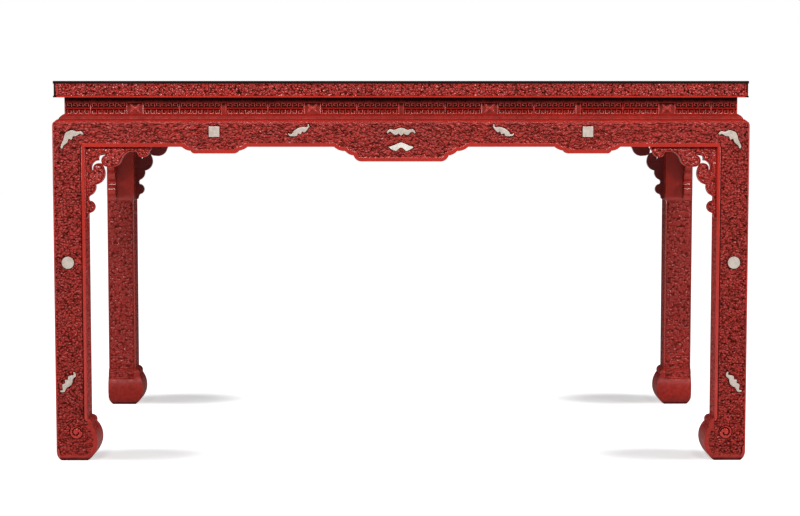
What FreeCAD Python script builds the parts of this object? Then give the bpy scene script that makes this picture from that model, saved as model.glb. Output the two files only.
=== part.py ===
# A waisted table in carved lacquer over a joined wooden frame, with jade inlays.
#
# The frame stands on its four feet, with the origin on the floor under its centre. X runs along
# the length, Y from the front to the back and Z upwards. Each side of the table is drawn in a
# frame of its own: x along the side from its middle, y inwards from the outer face of the legs.
# Each leg is drawn from its outer corner, with both faces alike, and turned into its place.
import FreeCAD, Part
import math
import os
import re
import Sketcher

# Driving dimensions in millimetres.
SIZES = {
    # The table over its legs.
    "table_length": 1572,
    "table_depth": 920,
    "table_height": 864,
    # The top: a mitred frame round a floating panel.
    "top_setback": 3,
    "top_thickness": 37,
    "rail_width": 95,
    "edge_band_height": 6,
    "edge_fillet_height": 3.5,
    "edge_recess": 1.5,
    "panel_thickness": 14,
    "panel_tongue_thickness": 7,
    "panel_tongue_reach": 10,
    "panel_play": 0.4,
    "rail_tenon_thickness": 9,
    "rail_tenon_drop": 7,
    # Battens under the panel.
    "batten_width": 42,
    "batten_height": 20,
    "batten_spacing": 390,
    "batten_dovetail_neck": 16,
    "batten_dovetail_head": 22,
    "batten_dovetail_height": 5,
    "batten_tenon_width": 24,
    "batten_tenon_thickness": 10,
    "batten_tenon_length": 22,
    # The waist between the top and the aprons.
    "waist_height": 37,
    "waist_setback": 25,
    "waist_thickness": 14,
    "tongue_thickness": 5,
    "tongue_depth": 6,
    # The aprons with their rounded shoulder and cusped drops.
    "apron_height": 74,
    "shoulder_drop": 30,
    "shoulder_step_setback": 11,
    "shoulder_step_drop": 12,
    "shoulder_step_width": 1.5,
    "centre_drop_depth": 33,
    "centre_drop_flat": 180,
    "centre_drop_width": 303,
    "side_drop_depth": 15,
    "side_drop_flat": 89,
    "side_drop_width": 146,
    # The legs and their scroll feet.
    "leg_width": 72,
    "foot_height": 98,
    "foot_reach": 22,
    "foot_belly_height": 44,
    "foot_notch_height": 81,
    "foot_notch_reach": 10,
    "toe_setback": 2,
    "heel_round_reach": 10,
    "heel_round_height": 24,
    "leg_tenon_height": 18,
    "dovetail_neck": 10,
    "dovetail_head": 15,
    "dovetail_depth": 9,
    "dovetail_top_drop": 10,
    # The pierced spandrels and the pins that hold them.
    "spandrel_length": 150,
    "spandrel_height": 162,
    "spandrel_thickness": 18,
    "spandrel_setback": 7,
    "pin_width": 5,
    "pin_in_frame": 12,
    "pin_in_spandrel": 8,
    "pin_reach": 72,
    "pin_drop": 96,
    # The jade inlays.
    "inlay_thickness": 3,
    "inlay_stand": 0.6,
    "centre_bat_width": 65,
    "centre_bat_height": 18,
    "centre_bat_drop": 31,
    "chime_width": 56,
    "chime_height": 19.5,
    "chime_rise": 10,
    "square_width": 23.5,
    "square_drop": 40,
    "side_bat_width": 51.5,
    "side_bat_height": 15,
    "side_bat_drop": 39,
    "corner_bat_width": 51,
    "corner_bat_setback": 18.5,
    "corner_bat_drop": 36,
    "disc_diameter": 27.5,
    "disc_setback": 32,
    "disc_level": 454,
    "leg_bat_width": 56,
    "leg_bat_height": 18,
    "leg_bat_setback": 29,
    "leg_bat_level": 181,
    # Fits and the overrun of every cut.
    "clearance": 0.2,
    "overrun": 5,
}

# Where the side drops and side bats stand, as shares of the way from the centre drop to the spandrels.
SIDE_DROP_SHARE = 0.653333
SIDE_BAT_SHARE = 0.187879
FREE_EDGE = "(table_length / 2 - leg_width - spandrel_length - centre_drop_width / 2)"
# Places that follow from the sizes.
PLACES = {
    "side_drop_place": f"centre_drop_width / 2 + {SIDE_DROP_SHARE} * {FREE_EDGE}",
    "side_bat_place": f"centre_drop_width / 2 + {SIDE_BAT_SHARE} * {FREE_EDGE}",
    "frame_bottom": "table_height - top_thickness",
    "apron_top": "frame_bottom - waist_height",
    "apron_bottom": "apron_top - apron_height",
    "apron_thickness": "waist_setback + waist_thickness",
    "stem_width": "leg_width - apron_thickness",
    "stem_middle": "apron_thickness + stem_width / 2",
    "foot_tip": "leg_width + foot_reach",
    "rail_inside": "top_setback + rail_width",
    "panel_bottom": "table_height - panel_thickness",
    "tongue_outside": "waist_setback + (waist_thickness - tongue_thickness) / 2",
    "tongue_inside": "tongue_outside + tongue_thickness",
    "rail_tenon_top": "panel_bottom + rail_tenon_drop",
    "batten_bottom": "panel_bottom - batten_height",
    "batten_tenon_bottom": "batten_bottom + (batten_height - batten_tenon_thickness) / 2",
    "pin_setback": "spandrel_setback + spandrel_thickness / 2",
    "inlay_seat": "inlay_thickness - inlay_stand",
}

# Outlines as shares, each point with the bulge share of the side that leaves it, where it has one.
# A bulge is the rise of an arc as a share of half its chord, and is positive where the outline,
# followed anticlockwise, bends outwards.
# The lobes of a drop, from its outer end: run as a share of the slope, fall as a share of the depth.
CENTRE_LOBE_SHARES = [(0.41, 0.29, 0.2), (0.31, 0.30, 0.2), (0.28, 0.41, 0.32)]
SIDE_LOBE_SHARES = [(0.69, 0.59, 0.2), (0.31, 0.41, 0.3)]
FOOT_BELLY_BULGE_SHARES = (0.255, 0.17)
FOOT_LOBE_BULGE_SHARE = 0.45
HEEL_BULGE_SHARE = 0.2
SHOULDER_BULGE_SHARE = 0.36
COLLAR_BULGE_SHARE = 0.22
# The spandrel, from the corner down the leg and back under the apron: shares of length and height.
SPANDREL_SHARES = [
    (0, 0), (0, 1), (0.033, 1, -0.1), (0.057, 0.926, 0.9), (0.058, 0.755, -0.4), (0.068, 0.683, 0.37),
    (0.153, 0.531, 0.37), (0.297, 0.377, 0.16), (0.245, 0.241, 0.64), (0.123, 0.309), (0.119, 0.338, -0.6),
    (0.101, 0.331, -0.53), (0.207, 0.192, -0.64), (0.313, 0.1), (0.309, 0.114, 0.8), (0.327, 0.279),
    (0.413, 0.285, 0.3), (0.553, 0.181, -0.22), (0.667, 0.069), (0.773, 0.068, -0.3), (0.797, 0.111, 0.6),
    (0.967, 0.086, -0.2), (1, 0.037), (1, 0),
]
# The right half of a spread bat from its tail: shares of half its width and of its height.
SPREAD_BAT_SHARES = [
    (0, -0.5), (0.19, -0.21), (0.28, -0.34), (0.4, -0.42), (0.5, -0.36), (0.65, -0.11), (0.75, 0),
    (0.83, -0.02), (0.93, -0.22), (1, -0.1), (0.92, 0.17), (0.77, 0.34), (0.52, 0.25), (0.38, 0.26),
    (0.21, 0.42),
]
# The same bat with its wing tips turned up.
GLIDING_BAT_SHARES = [
    (0, -0.5), (0.2, -0.18), (0.35, -0.46), (0.56, -0.38), (0.76, -0.2), (0.95, -0.02), (1, 0.37),
    (0.91, 0.38), (0.86, 0.15), (0.71, 0.08), (0.56, 0.27), (0.39, 0.4), (0.22, 0.47),
]
CROWN_SHARE = 0.5
# The corner bat from its lower wing tip, as shares of its width from its outer upper corner.
CORNER_BAT_SHARES = [
    (0.096, -0.805), (0.136, -0.69), (0.31, -0.55), (0.37, -0.39), (0.51, -0.43), (0.555, -0.28),
    (0.685, -0.275), (0.88, -0.163), (0.98, -0.214), (1.035, -0.173), (0.92, -0.05), (0.715, -0.08),
    (0.665, -0.045), (0.49, -0.01), (0.34, -0.07), (0.263, -0.1), (0.177, -0.285), (0.15, -0.4),
    (0.045, -0.65), (0.01, -0.76), (0.04, -0.815),
]
# The right half of the stone chime from the crown of its notch.
CHIME_SHARES = [
    (0, -0.08), (0.13, -0.14), (0.25, -0.3), (0.42, -0.5), (0.55, -0.42), (0.76, -0.3), (0.9, -0.16),
    (1, -0.02), (0.7, 0.1), (0.46, 0.25), (0.17, 0.43),
]
SIDE_BAT_TURN_DEGREES = 25
LEG_BAT_TURN_DEGREES = -126
# Leg tenons on the stem and rail tenons on the rail, as shares of the width of what carries them.
LEG_TENON_SHARES = (0.45, 0.9, 0.1, 0.35)
RAIL_TENON_SHARES = (0.18, 0.44, 0.74)

# How each side lies: the size that is its length, its turn and the place of its outer face.
SIDES = {
    "front": ("table_length", 0, "0", "-table_depth / 2"),
    "right": ("table_depth", 90, "table_length / 2", "0"),
    "back": ("table_length", 180, "0", "table_depth / 2"),
    "left": ("table_depth", 270, "-table_length / 2", "0"),
}
# Each leg: its turn and its outer corner.
LEGS = {
    "leg_front_left": (0, "-table_length / 2", "-table_depth / 2"),
    "leg_front_right": (90, "table_length / 2", "-table_depth / 2"),
    "leg_back_right": (180, "table_length / 2", "table_depth / 2"),
    "leg_back_left": (270, "-table_length / 2", "table_depth / 2"),
}
BATTEN_MIDDLES = {"batten_left": "-batten_spacing", "batten_centre": "0", "batten_right": "batten_spacing"}
# The name of the spandrel at each side's left and right end, as seen from outside that side.
SPANDREL_NAMES = {
    "front": ("spandrel_front_left", "spandrel_front_right"),
    "right": ("spandrel_right_front", "spandrel_right_back"),
    "back": ("spandrel_back_right", "spandrel_back_left"),
    "left": ("spandrel_left_back", "spandrel_left_front"),
}
VERTICAL = FreeCAD.Vector(0, 0, 1)

document = FreeCAD.newDocument("carved_lacquer_table")
sheet = document.addObject("Spreadsheet::Sheet", "sizes")
for row, (alias, amount) in enumerate(SIZES.items(), 1):
    sheet.set(f"A{row}", alias)
    sheet.set(f"B{row}", str(amount))
    sheet.setAlias(f"B{row}", alias)
document.recompute()


def formula(text):
    """Write a formula on the names above as an expression on the sheet's cells."""
    def cell(match):
        word = match.group()
        if word in PLACES:
            return "(" + formula(PLACES[word]) + ")"
        return "sizes." + word if word in SIZES else word
    return re.sub(r"[a-z_]+", cell, str(text))


def measure(text):
    """Give the present value of a formula."""
    return float(sheet.evalExpression(formula(text)))


def hold(sketch, bounds):
    """Add the constraints of one outline, each held to its formula where it has one."""
    constraints = []
    for kind, *places, text in bounds:
        value = [measure(text)] if text else []
        constraints.append(Sketcher.Constraint(kind, *places, *value))
    first = sketch.ConstraintCount
    sketch.addConstraint(constraints)
    for index, bound in enumerate(bounds, first):
        if bound[-1]:
            sketch.setExpression(f"Constraints[{index}]", formula(bound[-1]))


def pinned(geometry, point, across, up):
    """Give the two constraints that hold a point to its formulas."""
    return [("DistanceX", -1, 1, geometry, point, across), ("DistanceY", -1, 1, geometry, point, up)]


def draw_circle(sketch, across, up, diameter):
    """Draw a circle held by its centre and diameter."""
    centre = FreeCAD.Vector(measure(across), measure(up), 0)
    index = sketch.addGeometry(Part.Circle(centre, VERTICAL, measure(diameter) / 2), False)
    hold(sketch, [*pinned(index, 3, across, up), ("Diameter", index, diameter)])


def arc_between(start, end, bulge):
    """Make the arc from start to end that bulges by the given share of half its chord."""
    chord = end - start
    rise = FreeCAD.Vector(chord.y, -chord.x, 0) * (bulge / 2)
    return Part.Arc(start, (start + end) / 2 + rise, end)


def draw_outline(sketch, points):
    """Draw a closed outline of lines and arcs, each corner held to its formulas."""
    corners = [FreeCAD.Vector(measure(point[0]), measure(point[1]), 0) for point in points]
    bulges = [point[2] if len(point) > 2 else 0 for point in points]
    first = sketch.GeometryCount
    sides = []
    for index, bulge in enumerate(bulges):
        start = corners[index]
        end = corners[(index + 1) % len(corners)]
        sides.append(arc_between(start, end, bulge) if bulge else Part.LineSegment(start, end))
    sketch.addGeometry(sides, False)
    # An arc that bends inwards is stored the other way round, so its ends are 2 and 1.
    starts = [2 if bulge < 0 else 1 for bulge in bulges]
    ends = [1 if bulge < 0 else 2 for bulge in bulges]
    bounds = []
    for index, bulge in enumerate(bulges):
        following = (index + 1) % len(points)
        here = points[index]
        there = points[following]
        bounds.append(("Coincident", first + index, ends[index], first + following, starts[following], ""))
        bounds += pinned(first + index, starts[index], here[0], here[1])
        if bulge:
            chord = f"sqrt((({there[0]}) - ({here[0]}))^2 + (({there[1]}) - ({here[1]}))^2)"
            bounds.append(("Radius", first + index, f"{chord} * {(1 + bulge ** 2) / (4 * abs(bulge))}"))
    hold(sketch, bounds)


def extrude(body, name, plane, outlines, low, high, cut=False):
    """Fill or cut the outlines between two levels along the axis that the plane is square to."""
    sketch = body.newObject("Sketcher::SketchObject", name + "_sketch")
    base = next(feature for feature in body.Origin.OriginFeatures if feature.Role == plane)
    sketch.AttachmentSupport = [(base, "")]
    sketch.MapMode = "FlatFace"
    # The XZ plane faces towards -Y, so its sketch starts from the high level.
    level = f"-({high})" if plane == "XZ_Plane" else low
    sketch.setExpression(".AttachmentOffset.Base.z", formula(level))
    for points in outlines:
        if points[0] == "circle":
            draw_circle(sketch, *points[1:])
        else:
            draw_outline(sketch, points)
    feature = body.newObject("PartDesign::Pocket" if cut else "PartDesign::Pad", name)
    feature.Profile = sketch
    feature.Reversed = cut
    feature.setExpression("Length", formula(f"({high}) - ({low})"))
    return feature


def rectangle(left, bottom, right, top):
    """Give a rectangle's corners."""
    return [(left, bottom), (right, bottom), (right, top), (left, top)]


def peg(across, up, width="pin_width"):
    """Outline a square peg, or the hole for one, about its middle."""
    half = f"({width}) / 2"
    return rectangle(f"{across} - {half}", f"{up} - {half}", f"{across} + {half}", f"{up} + {half}")


def mirrored(points):
    """Mirror an outline in x = 0."""
    if points[0] == "circle":
        return ("circle", f"-({points[1]})", *points[2:])
    return [(f"-({point[0]})", point[1], *(-bulge for bulge in point[2:])) for point in points]


def both_ways(points):
    """Give an outline and its mirror image."""
    return [points, mirrored(points)]


def shifted(points, across, up):
    """Move an outline."""
    if points[0] == "circle":
        return ("circle", f"{across} + ({points[1]})", f"{up} + ({points[2]})", points[3])
    return [(f"{across} + ({point[0]})", f"{up} + ({point[1]})", *point[2:]) for point in points]


def turned(points, degrees):
    """Turn an outline about its own centre."""
    cosine = round(math.cos(math.radians(degrees)), 6)
    sine = round(math.sin(math.radians(degrees)), 6)
    return [(f"{cosine} * ({point[0]}) - ({sine}) * ({point[1]})",
             f"({sine}) * ({point[0]}) + {cosine} * ({point[1]})", *point[2:]) for point in points]


def at_ends(span, points):
    """Place an outline that is drawn from a leg's outer corner at both ends of a side."""
    return both_ways(shifted(points, f"-{span} / 2", "0"))


def new_body(name):
    """Start a sub-part."""
    body = document.addObject("PartDesign::Body", name)
    body.Label = name
    return body


def place(name, pattern, degrees=0, across="0", inwards="0", up="0"):
    """Give one real piece, made to a pattern, turned about the vertical and put in its place."""
    piece = document.addObject("App::Link", name)
    piece.Label = name
    piece.LinkedObject = pattern
    piece.Placement = FreeCAD.Placement(FreeCAD.Vector(), FreeCAD.Rotation(VERTICAL, degrees))
    piece.setExpression("Placement.Base.x", formula(across))
    piece.setExpression("Placement.Base.y", formula(inwards))
    piece.setExpression("Placement.Base.z", formula(up))
    return piece


def shoulder_void():
    """Outline what the rounded shoulder takes off a square board, as distance inwards and height."""
    return [
        ("-overrun", "apron_top - shoulder_drop"),
        ("0", "apron_top - shoulder_drop", -SHOULDER_BULGE_SHARE),
        ("shoulder_step_setback", "apron_top - shoulder_step_drop"),
        ("shoulder_step_setback + shoulder_step_width", "apron_top - shoulder_step_drop",
         -COLLAR_BULGE_SHARE),
        ("waist_setback", "apron_top"),
        ("waist_setback", "apron_top + overrun"),
        ("-overrun", "apron_top + overrun"),
    ]


def half_shape(shares, width, height):
    """Close a shape from its right half: the points go up the right side and down the left."""
    right = [(f"{share[0]} * {width} / 2", f"{share[1]} * {height}") for share in shares]
    left = [(f"-({across})", up) for across, up in reversed(right[1:])]
    return right + [("0", f"{CROWN_SHARE} * {height}")] + left


def corner_bat():
    """Outline the bat that bends round the corner, from a leg's outer corner."""
    return [(f"corner_bat_setback + {share[0]} * corner_bat_width",
             f"apron_top - corner_bat_drop + {share[1]} * corner_bat_width", *share[2:])
            for share in CORNER_BAT_SHARES]


def leg_disc():
    """Outline the disc on a leg face."""
    return ("circle", "disc_setback", "disc_level", "disc_diameter")


def leg_bat():
    """Outline the bat low on a leg face."""
    bat = turned(half_shape(SPREAD_BAT_SHARES, "leg_bat_width", "leg_bat_height"), LEG_BAT_TURN_DEGREES)
    return shifted(bat, "leg_bat_setback", "leg_bat_level")


def apron_inlays(span):
    """Give each kind of inlay on an apron with its outlines."""
    centre_bat = half_shape(SPREAD_BAT_SHARES, "centre_bat_width", "centre_bat_height")
    chime = half_shape(CHIME_SHARES, "chime_width", "chime_height")
    inlays = {
        "centre_bat": [shifted(centre_bat, "0", "apron_top - centre_bat_drop - centre_bat_height / 2")],
        "chime": [shifted(chime, "0", "apron_bottom - chime_height / 2 + chime_rise")],
    }
    if span == "table_length":
        side_bat = turned(half_shape(GLIDING_BAT_SHARES, "side_bat_width", "side_bat_height"),
                          SIDE_BAT_TURN_DEGREES)
        square = rectangle("-square_width / 2", "-square_width", "square_width / 2", "0")
        square_top = "apron_top - square_drop + square_width / 2"
        inlays["side_bats"] = both_ways(shifted(side_bat, "-side_bat_place", "apron_top - side_bat_drop"))
        inlays["squares"] = both_ways(shifted(square, "-side_drop_place", square_top))
    return inlays


def drop(middle, lobes, depth, flat, width):
    """Give the points of one cusped drop of the apron's lower edge, from left to right."""
    slope = f"({width} - {flat}) / 2"
    left = []
    right = []
    run = 0
    fall = 0
    for run_share, fall_share, bulge in lobes:
        left.append((f"{middle} - {width} / 2 + {run:.2f} * {slope}",
                     f"apron_bottom - {fall:.2f} * {depth}", bulge))
        run += run_share
        fall += fall_share
        right.insert(0, (f"{middle} + {width} / 2 - {run:.2f} * {slope}",
                         f"apron_bottom - {fall:.2f} * {depth}", bulge))
    end_left = (f"{middle} - {flat} / 2", f"apron_bottom - {depth}")
    end_right = (f"{middle} + {width} / 2", "apron_bottom")
    return left + [end_left] + right + [end_right]


def plan_mitre(span, y_low, y_high):
    """Outline what the mitres cut off both ends of a board that runs round the corner."""
    start = f"-{span} / 2"
    return both_ways([
        (f"{start} + {y_low} - overrun", f"{y_low} - overrun"),
        (f"{start} + {y_high} + overrun", f"{y_high} + overrun"),
        (f"{start} + {y_low} - overrun", f"{y_high} + overrun"),
    ])


def make_leg(name):
    """Make a leg from its outer corner, the same seen from its two faces."""
    body = new_body(name)
    inner_side = [
        ("leg_width - toe_setback", "0", FOOT_BELLY_BULGE_SHARES[0]),
        ("foot_tip", "foot_belly_height", FOOT_BELLY_BULGE_SHARES[1]),
        ("leg_width + foot_notch_reach", "foot_notch_height", FOOT_LOBE_BULGE_SHARE),
        ("leg_width", "foot_height"),
    ]
    profile = [("heel_round_reach", "0"), *inner_side, ("leg_width", "apron_top"), ("0", "apron_top"),
               ("0", "heel_round_height", HEEL_BULGE_SHARE)]
    extrude(body, name + "_front", "XZ_Plane", [profile], "0", "foot_tip")
    # The same profile seen from the side, cut away outside it, leaves the mitred inner corner.
    far = "foot_tip + overrun"
    beyond = [
        ("leg_width - toe_setback", "-overrun"), (far, "-overrun"), (far, "apron_top + overrun"),
        ("leg_width", "apron_top + overrun"),
        ("leg_width", "foot_height", -FOOT_LOBE_BULGE_SHARE),
        ("leg_width + foot_notch_reach", "foot_notch_height", -FOOT_BELLY_BULGE_SHARES[1]),
        ("foot_tip", "foot_belly_height", -FOOT_BELLY_BULGE_SHARES[0]),
        ("leg_width - toe_setback", "0"),
    ]
    heel = [("-overrun", "-overrun"), ("heel_round_reach", "-overrun"),
            ("heel_round_reach", "0", -HEEL_BULGE_SHARE), ("0", "heel_round_height"),
            ("-overrun", "heel_round_height")]
    extrude(body, name + "_side", "YZ_Plane", [beyond, heel], "-overrun", far, cut=True)
    # The aprons' mitred faces cross the leg, so it keeps only what lies below the mitres.
    rise = "overrun * apron_height / leg_width"
    mitre = [("-overrun", f"apron_top + {rise}"), ("leg_width + overrun", f"apron_bottom - {rise}"),
             ("leg_width + overrun", "apron_top + 2 * overrun"), ("-overrun", "apron_top + 2 * overrun")]
    stem = rectangle("apron_thickness", "apron_thickness", "leg_width", "leg_width")
    rib_neck = "stem_middle - dovetail_neck / 2"
    rib_head = "stem_middle - dovetail_head / 2"
    rib_tip = "apron_thickness - dovetail_depth"
    rib = [(rib_neck, "apron_thickness"), (rib_head, rib_tip),
           ("stem_middle + dovetail_head / 2", rib_tip),
           ("stem_middle + dovetail_neck / 2", "apron_thickness")]
    near, end, inner, outer = [f"apron_thickness + {share} * stem_width" for share in LEG_TENON_SHARES]
    tenon = rectangle(near, inner, end, outer)
    for plane in ("XZ_Plane", "YZ_Plane"):
        extrude(body, f"{name}_mitre_{plane}", plane, [mitre], "-overrun", "apron_thickness", cut=True)
        extrude(body, f"{name}_shoulder_{plane}", plane, [shoulder_void()], "-overrun", "leg_width", cut=True)
    extrude(body, name + "_stem", "XY_Plane", [stem], "apron_top", "frame_bottom")
    for way in (rib, [(up, across) for across, up in rib]):
        extrude(body, name + "_rib", "XY_Plane", [way], "apron_bottom", "apron_top - dovetail_top_drop")
    for way in (tenon, [(up, across) for across, up in tenon]):
        extrude(body, name + "_tenon", "XY_Plane", [way], "frame_bottom", "frame_bottom + leg_tenon_height")
    pin_hole = peg("pin_setback", "apron_bottom - pin_drop", "pin_width + clearance")
    inlay_seats = [leg_disc(), leg_bat(), corner_bat()]
    for plane in ("XZ_Plane", "YZ_Plane"):
        extrude(body, f"{name}_pin_hole_{plane}", plane, [pin_hole],
                "leg_width - pin_in_frame", "leg_width + overrun", cut=True)
        extrude(body, f"{name}_seats_{plane}", plane, inlay_seats, "-overrun", "inlay_seat", cut=True)
    return body


def make_apron(name, span):
    """Make an apron with its cusped lower edge, mitred ends and the slots that hang it on the legs."""
    body = new_body(name)
    lower_edge = drop("0", CENTRE_LOBE_SHARES, "centre_drop_depth", "centre_drop_flat", "centre_drop_width")
    if span == "table_length":
        side = ("side_drop_depth", "side_drop_flat", "side_drop_width")
        lower_edge = (drop("-side_drop_place", SIDE_LOBE_SHARES, *side) + lower_edge
                      + drop("side_drop_place", SIDE_LOBE_SHARES, *side))
    face = [(f"-{span} / 2 + leg_width", "apron_bottom"), *lower_edge,
            (f"{span} / 2 - leg_width", "apron_bottom"), (f"{span} / 2", "apron_top"),
            (f"-{span} / 2", "apron_top")]
    extrude(body, name + "_board", "XZ_Plane", [face], "0", "apron_thickness")
    lowest = "apron_bottom - centre_drop_depth - overrun"
    extrude(body, name + "_plan_mitres", "XY_Plane", plan_mitre(span, "0", "apron_thickness"),
            lowest, "apron_top + overrun", cut=True)
    whole = (f"-{span} / 2 - overrun", f"{span} / 2 + overrun")
    extrude(body, name + "_shoulder", "YZ_Plane", [shoulder_void()], *whole, cut=True)
    groove = rectangle("tongue_outside - clearance", "apron_top - tongue_depth - clearance",
                       "tongue_inside + clearance", "apron_top + overrun")
    extrude(body, name + "_groove", "YZ_Plane", [groove], *whole, cut=True)
    neck = "dovetail_neck / 2 + clearance"
    head = "dovetail_head / 2 + clearance"
    depth = "apron_thickness - dovetail_depth - clearance"
    slot = [(f"stem_middle - ({neck})", "apron_thickness + overrun"),
            (f"stem_middle - ({neck})", "apron_thickness"),
            (f"stem_middle - ({head})", depth), (f"stem_middle + {head}", depth),
            (f"stem_middle + {neck}", "apron_thickness"),
            (f"stem_middle + {neck}", "apron_thickness + overrun")]
    extrude(body, name + "_dovetail_slots", "XY_Plane", at_ends(span, slot),
            lowest, "apron_top - dovetail_top_drop + clearance", cut=True)
    pin_hole = peg("leg_width + pin_reach", "pin_setback", "pin_width + clearance")
    extrude(body, name + "_pin_holes", "XY_Plane", at_ends(span, pin_hole),
            "apron_bottom - overrun", "apron_bottom + pin_in_frame", cut=True)
    seats = [outline for outlines in apron_inlays(span).values() for outline in outlines]
    extrude(body, name + "_seats", "XZ_Plane", seats + at_ends(span, corner_bat()),
            "-overrun", "inlay_seat", cut=True)
    return body


def make_waist(name, span):
    """Make a waist board, tongued into the apron below and the rail above."""
    body = new_body(name)
    section = [
        ("waist_setback", "apron_top"), ("tongue_outside", "apron_top"),
        ("tongue_outside", "apron_top - tongue_depth"), ("tongue_inside", "apron_top - tongue_depth"),
        ("tongue_inside", "apron_top"), ("apron_thickness", "apron_top"),
        ("apron_thickness", "frame_bottom"), ("tongue_inside", "frame_bottom"),
        ("tongue_inside", "frame_bottom + tongue_depth"), ("tongue_outside", "frame_bottom + tongue_depth"),
        ("tongue_outside", "frame_bottom"), ("waist_setback", "frame_bottom"),
    ]
    extrude(body, name + "_board", "YZ_Plane", [section],
            f"-{span} / 2 + waist_setback", f"{span} / 2 - waist_setback")
    extrude(body, name + "_plan_mitres", "XY_Plane", plan_mitre(span, "waist_setback", "apron_thickness"),
            "apron_top - tongue_depth - overrun", "frame_bottom + tongue_depth + overrun", cut=True)
    return body


def rail_tenon(grown="0"):
    """Outline the tenon through a long rail's mitre, as distances from the short and long edges."""
    tip, low, high = [f"top_setback + {share} * rail_width" for share in RAIL_TENON_SHARES]
    return rectangle(f"{tip} - {grown}", f"{low} - {grown}", high, f"{high} + {grown}")


def make_top_rail(name, span):
    """Make one mitred rail of the top's frame, grooved for the panel and for the waist."""
    body = new_body(name)
    outside = "top_setback"
    recess = "top_setback + edge_recess"
    section = [
        (outside, "frame_bottom"), ("rail_inside", "frame_bottom"), ("rail_inside", "table_height"),
        (outside, "table_height"), (outside, "table_height - edge_band_height"),
        (recess, "table_height - edge_band_height"), (recess, "frame_bottom + edge_fillet_height"),
        (outside, "frame_bottom + edge_fillet_height"),
    ]
    ends = (f"-{span} / 2 + top_setback", f"{span} / 2 - top_setback")
    extrude(body, name + "_board", "YZ_Plane", [section], *ends)
    extrude(body, name + "_plan_mitres", "XY_Plane", plan_mitre(span, "top_setback", "rail_inside"),
            "frame_bottom - overrun", "table_height + overrun", cut=True)
    whole = (f"-{span} / 2 - overrun", f"{span} / 2 + overrun")
    panel_groove = rectangle("rail_inside - panel_tongue_reach - panel_play", "panel_bottom",
                             "rail_inside + overrun", "panel_bottom + panel_tongue_thickness + clearance")
    waist_groove = rectangle("tongue_outside - clearance", "frame_bottom - overrun",
                             "tongue_inside + clearance", "frame_bottom + tongue_depth + clearance")
    extrude(body, name + "_grooves", "YZ_Plane", [panel_groove, waist_groove], *whole, cut=True)
    near, end, inner, outer = [f"apron_thickness + {share} * stem_width" for share in LEG_TENON_SHARES]
    mortise = rectangle(f"{near} - clearance", f"{inner} - clearance",
                        f"{end} + clearance", f"{outer} + clearance")
    extrude(body, name + "_leg_mortises", "XY_Plane", at_ends(span, mortise),
            "frame_bottom - overrun", "frame_bottom + leg_tenon_height + clearance", cut=True)
    tenon_low = "rail_tenon_top - rail_tenon_thickness"
    if span == "table_length":
        extrude(body, name + "_tenons", "XY_Plane", at_ends(span, rail_tenon()), tenon_low, "rail_tenon_top")
        half_batten = "batten_tenon_width / 2 + clearance"
        mortises = []
        for middle in BATTEN_MIDDLES.values():
            mortises.append(rectangle(f"{middle} - ({half_batten})", "batten_tenon_bottom - clearance",
                                      f"{middle} + {half_batten}",
                                      "batten_tenon_bottom + batten_tenon_thickness + clearance"))
        extrude(body, name + "_batten_mortises", "XZ_Plane", mortises,
                "rail_inside - batten_tenon_length - clearance", "rail_inside + overrun", cut=True)
    else:
        mortise = [(up, across) for across, up in rail_tenon("clearance")]
        extrude(body, name + "_mortises", "XY_Plane", at_ends(span, mortise),
                f"{tenon_low} - clearance", "rail_tenon_top + clearance", cut=True)
    return body


def make_panel(name):
    """Make the floating top panel with its tongue and the dovetailed slots for the battens."""
    body = new_body(name)
    tongue_x = "(table_length / 2 - rail_inside + panel_tongue_reach)"
    tongue_y = "(table_depth / 2 - rail_inside + panel_tongue_reach)"
    field_x = "(table_length / 2 - rail_inside - panel_play)"
    field_y = "(table_depth / 2 - rail_inside - panel_play)"
    shelf = "panel_bottom + panel_tongue_thickness"
    extrude(body, name + "_tongue", "XY_Plane",
            [rectangle(f"-{tongue_x}", f"-{tongue_y}", tongue_x, tongue_y)], "panel_bottom", shelf)
    extrude(body, name + "_field", "XY_Plane",
            [rectangle(f"-{field_x}", f"-{field_y}", field_x, field_y)], shelf, "table_height")
    neck = "batten_dovetail_neck / 2 + clearance"
    head = "batten_dovetail_head / 2 + clearance"
    slot_top = "panel_bottom + batten_dovetail_height + clearance"
    slots = []
    for middle in BATTEN_MIDDLES.values():
        slots.append([
            (f"{middle} - ({neck})", "panel_bottom - overrun"),
            (f"{middle} + {neck}", "panel_bottom - overrun"),
            (f"{middle} + {neck}", "panel_bottom"), (f"{middle} + {head}", slot_top),
            (f"{middle} - ({head})", slot_top), (f"{middle} - ({neck})", "panel_bottom"),
        ])
    extrude(body, name + "_slots", "XZ_Plane", slots,
            f"-{tongue_y} - overrun", f"{tongue_y} + overrun", cut=True)
    return body


def make_batten(name):
    """Make a batten with its dovetailed back and a tenon at each end."""
    body = new_body(name)
    section = [
        ("-batten_width / 2", "batten_bottom"), ("batten_width / 2", "batten_bottom"),
        ("batten_width / 2", "panel_bottom"), ("batten_dovetail_neck / 2", "panel_bottom"),
        ("batten_dovetail_head / 2", "panel_bottom + batten_dovetail_height"),
        ("-batten_dovetail_head / 2", "panel_bottom + batten_dovetail_height"),
        ("-batten_dovetail_neck / 2", "panel_bottom"), ("-batten_width / 2", "panel_bottom"),
    ]
    shoulder = "(table_depth / 2 - rail_inside)"
    extrude(body, name + "_bar", "XZ_Plane", [section], f"-{shoulder}", shoulder)
    tenon = rectangle("-batten_tenon_width / 2", "batten_tenon_bottom",
                      "batten_tenon_width / 2", "batten_tenon_bottom + batten_tenon_thickness")
    extrude(body, name + "_tenons", "XZ_Plane", [tenon],
            f"-{shoulder} - batten_tenon_length", f"{shoulder} + batten_tenon_length")
    return body


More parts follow.
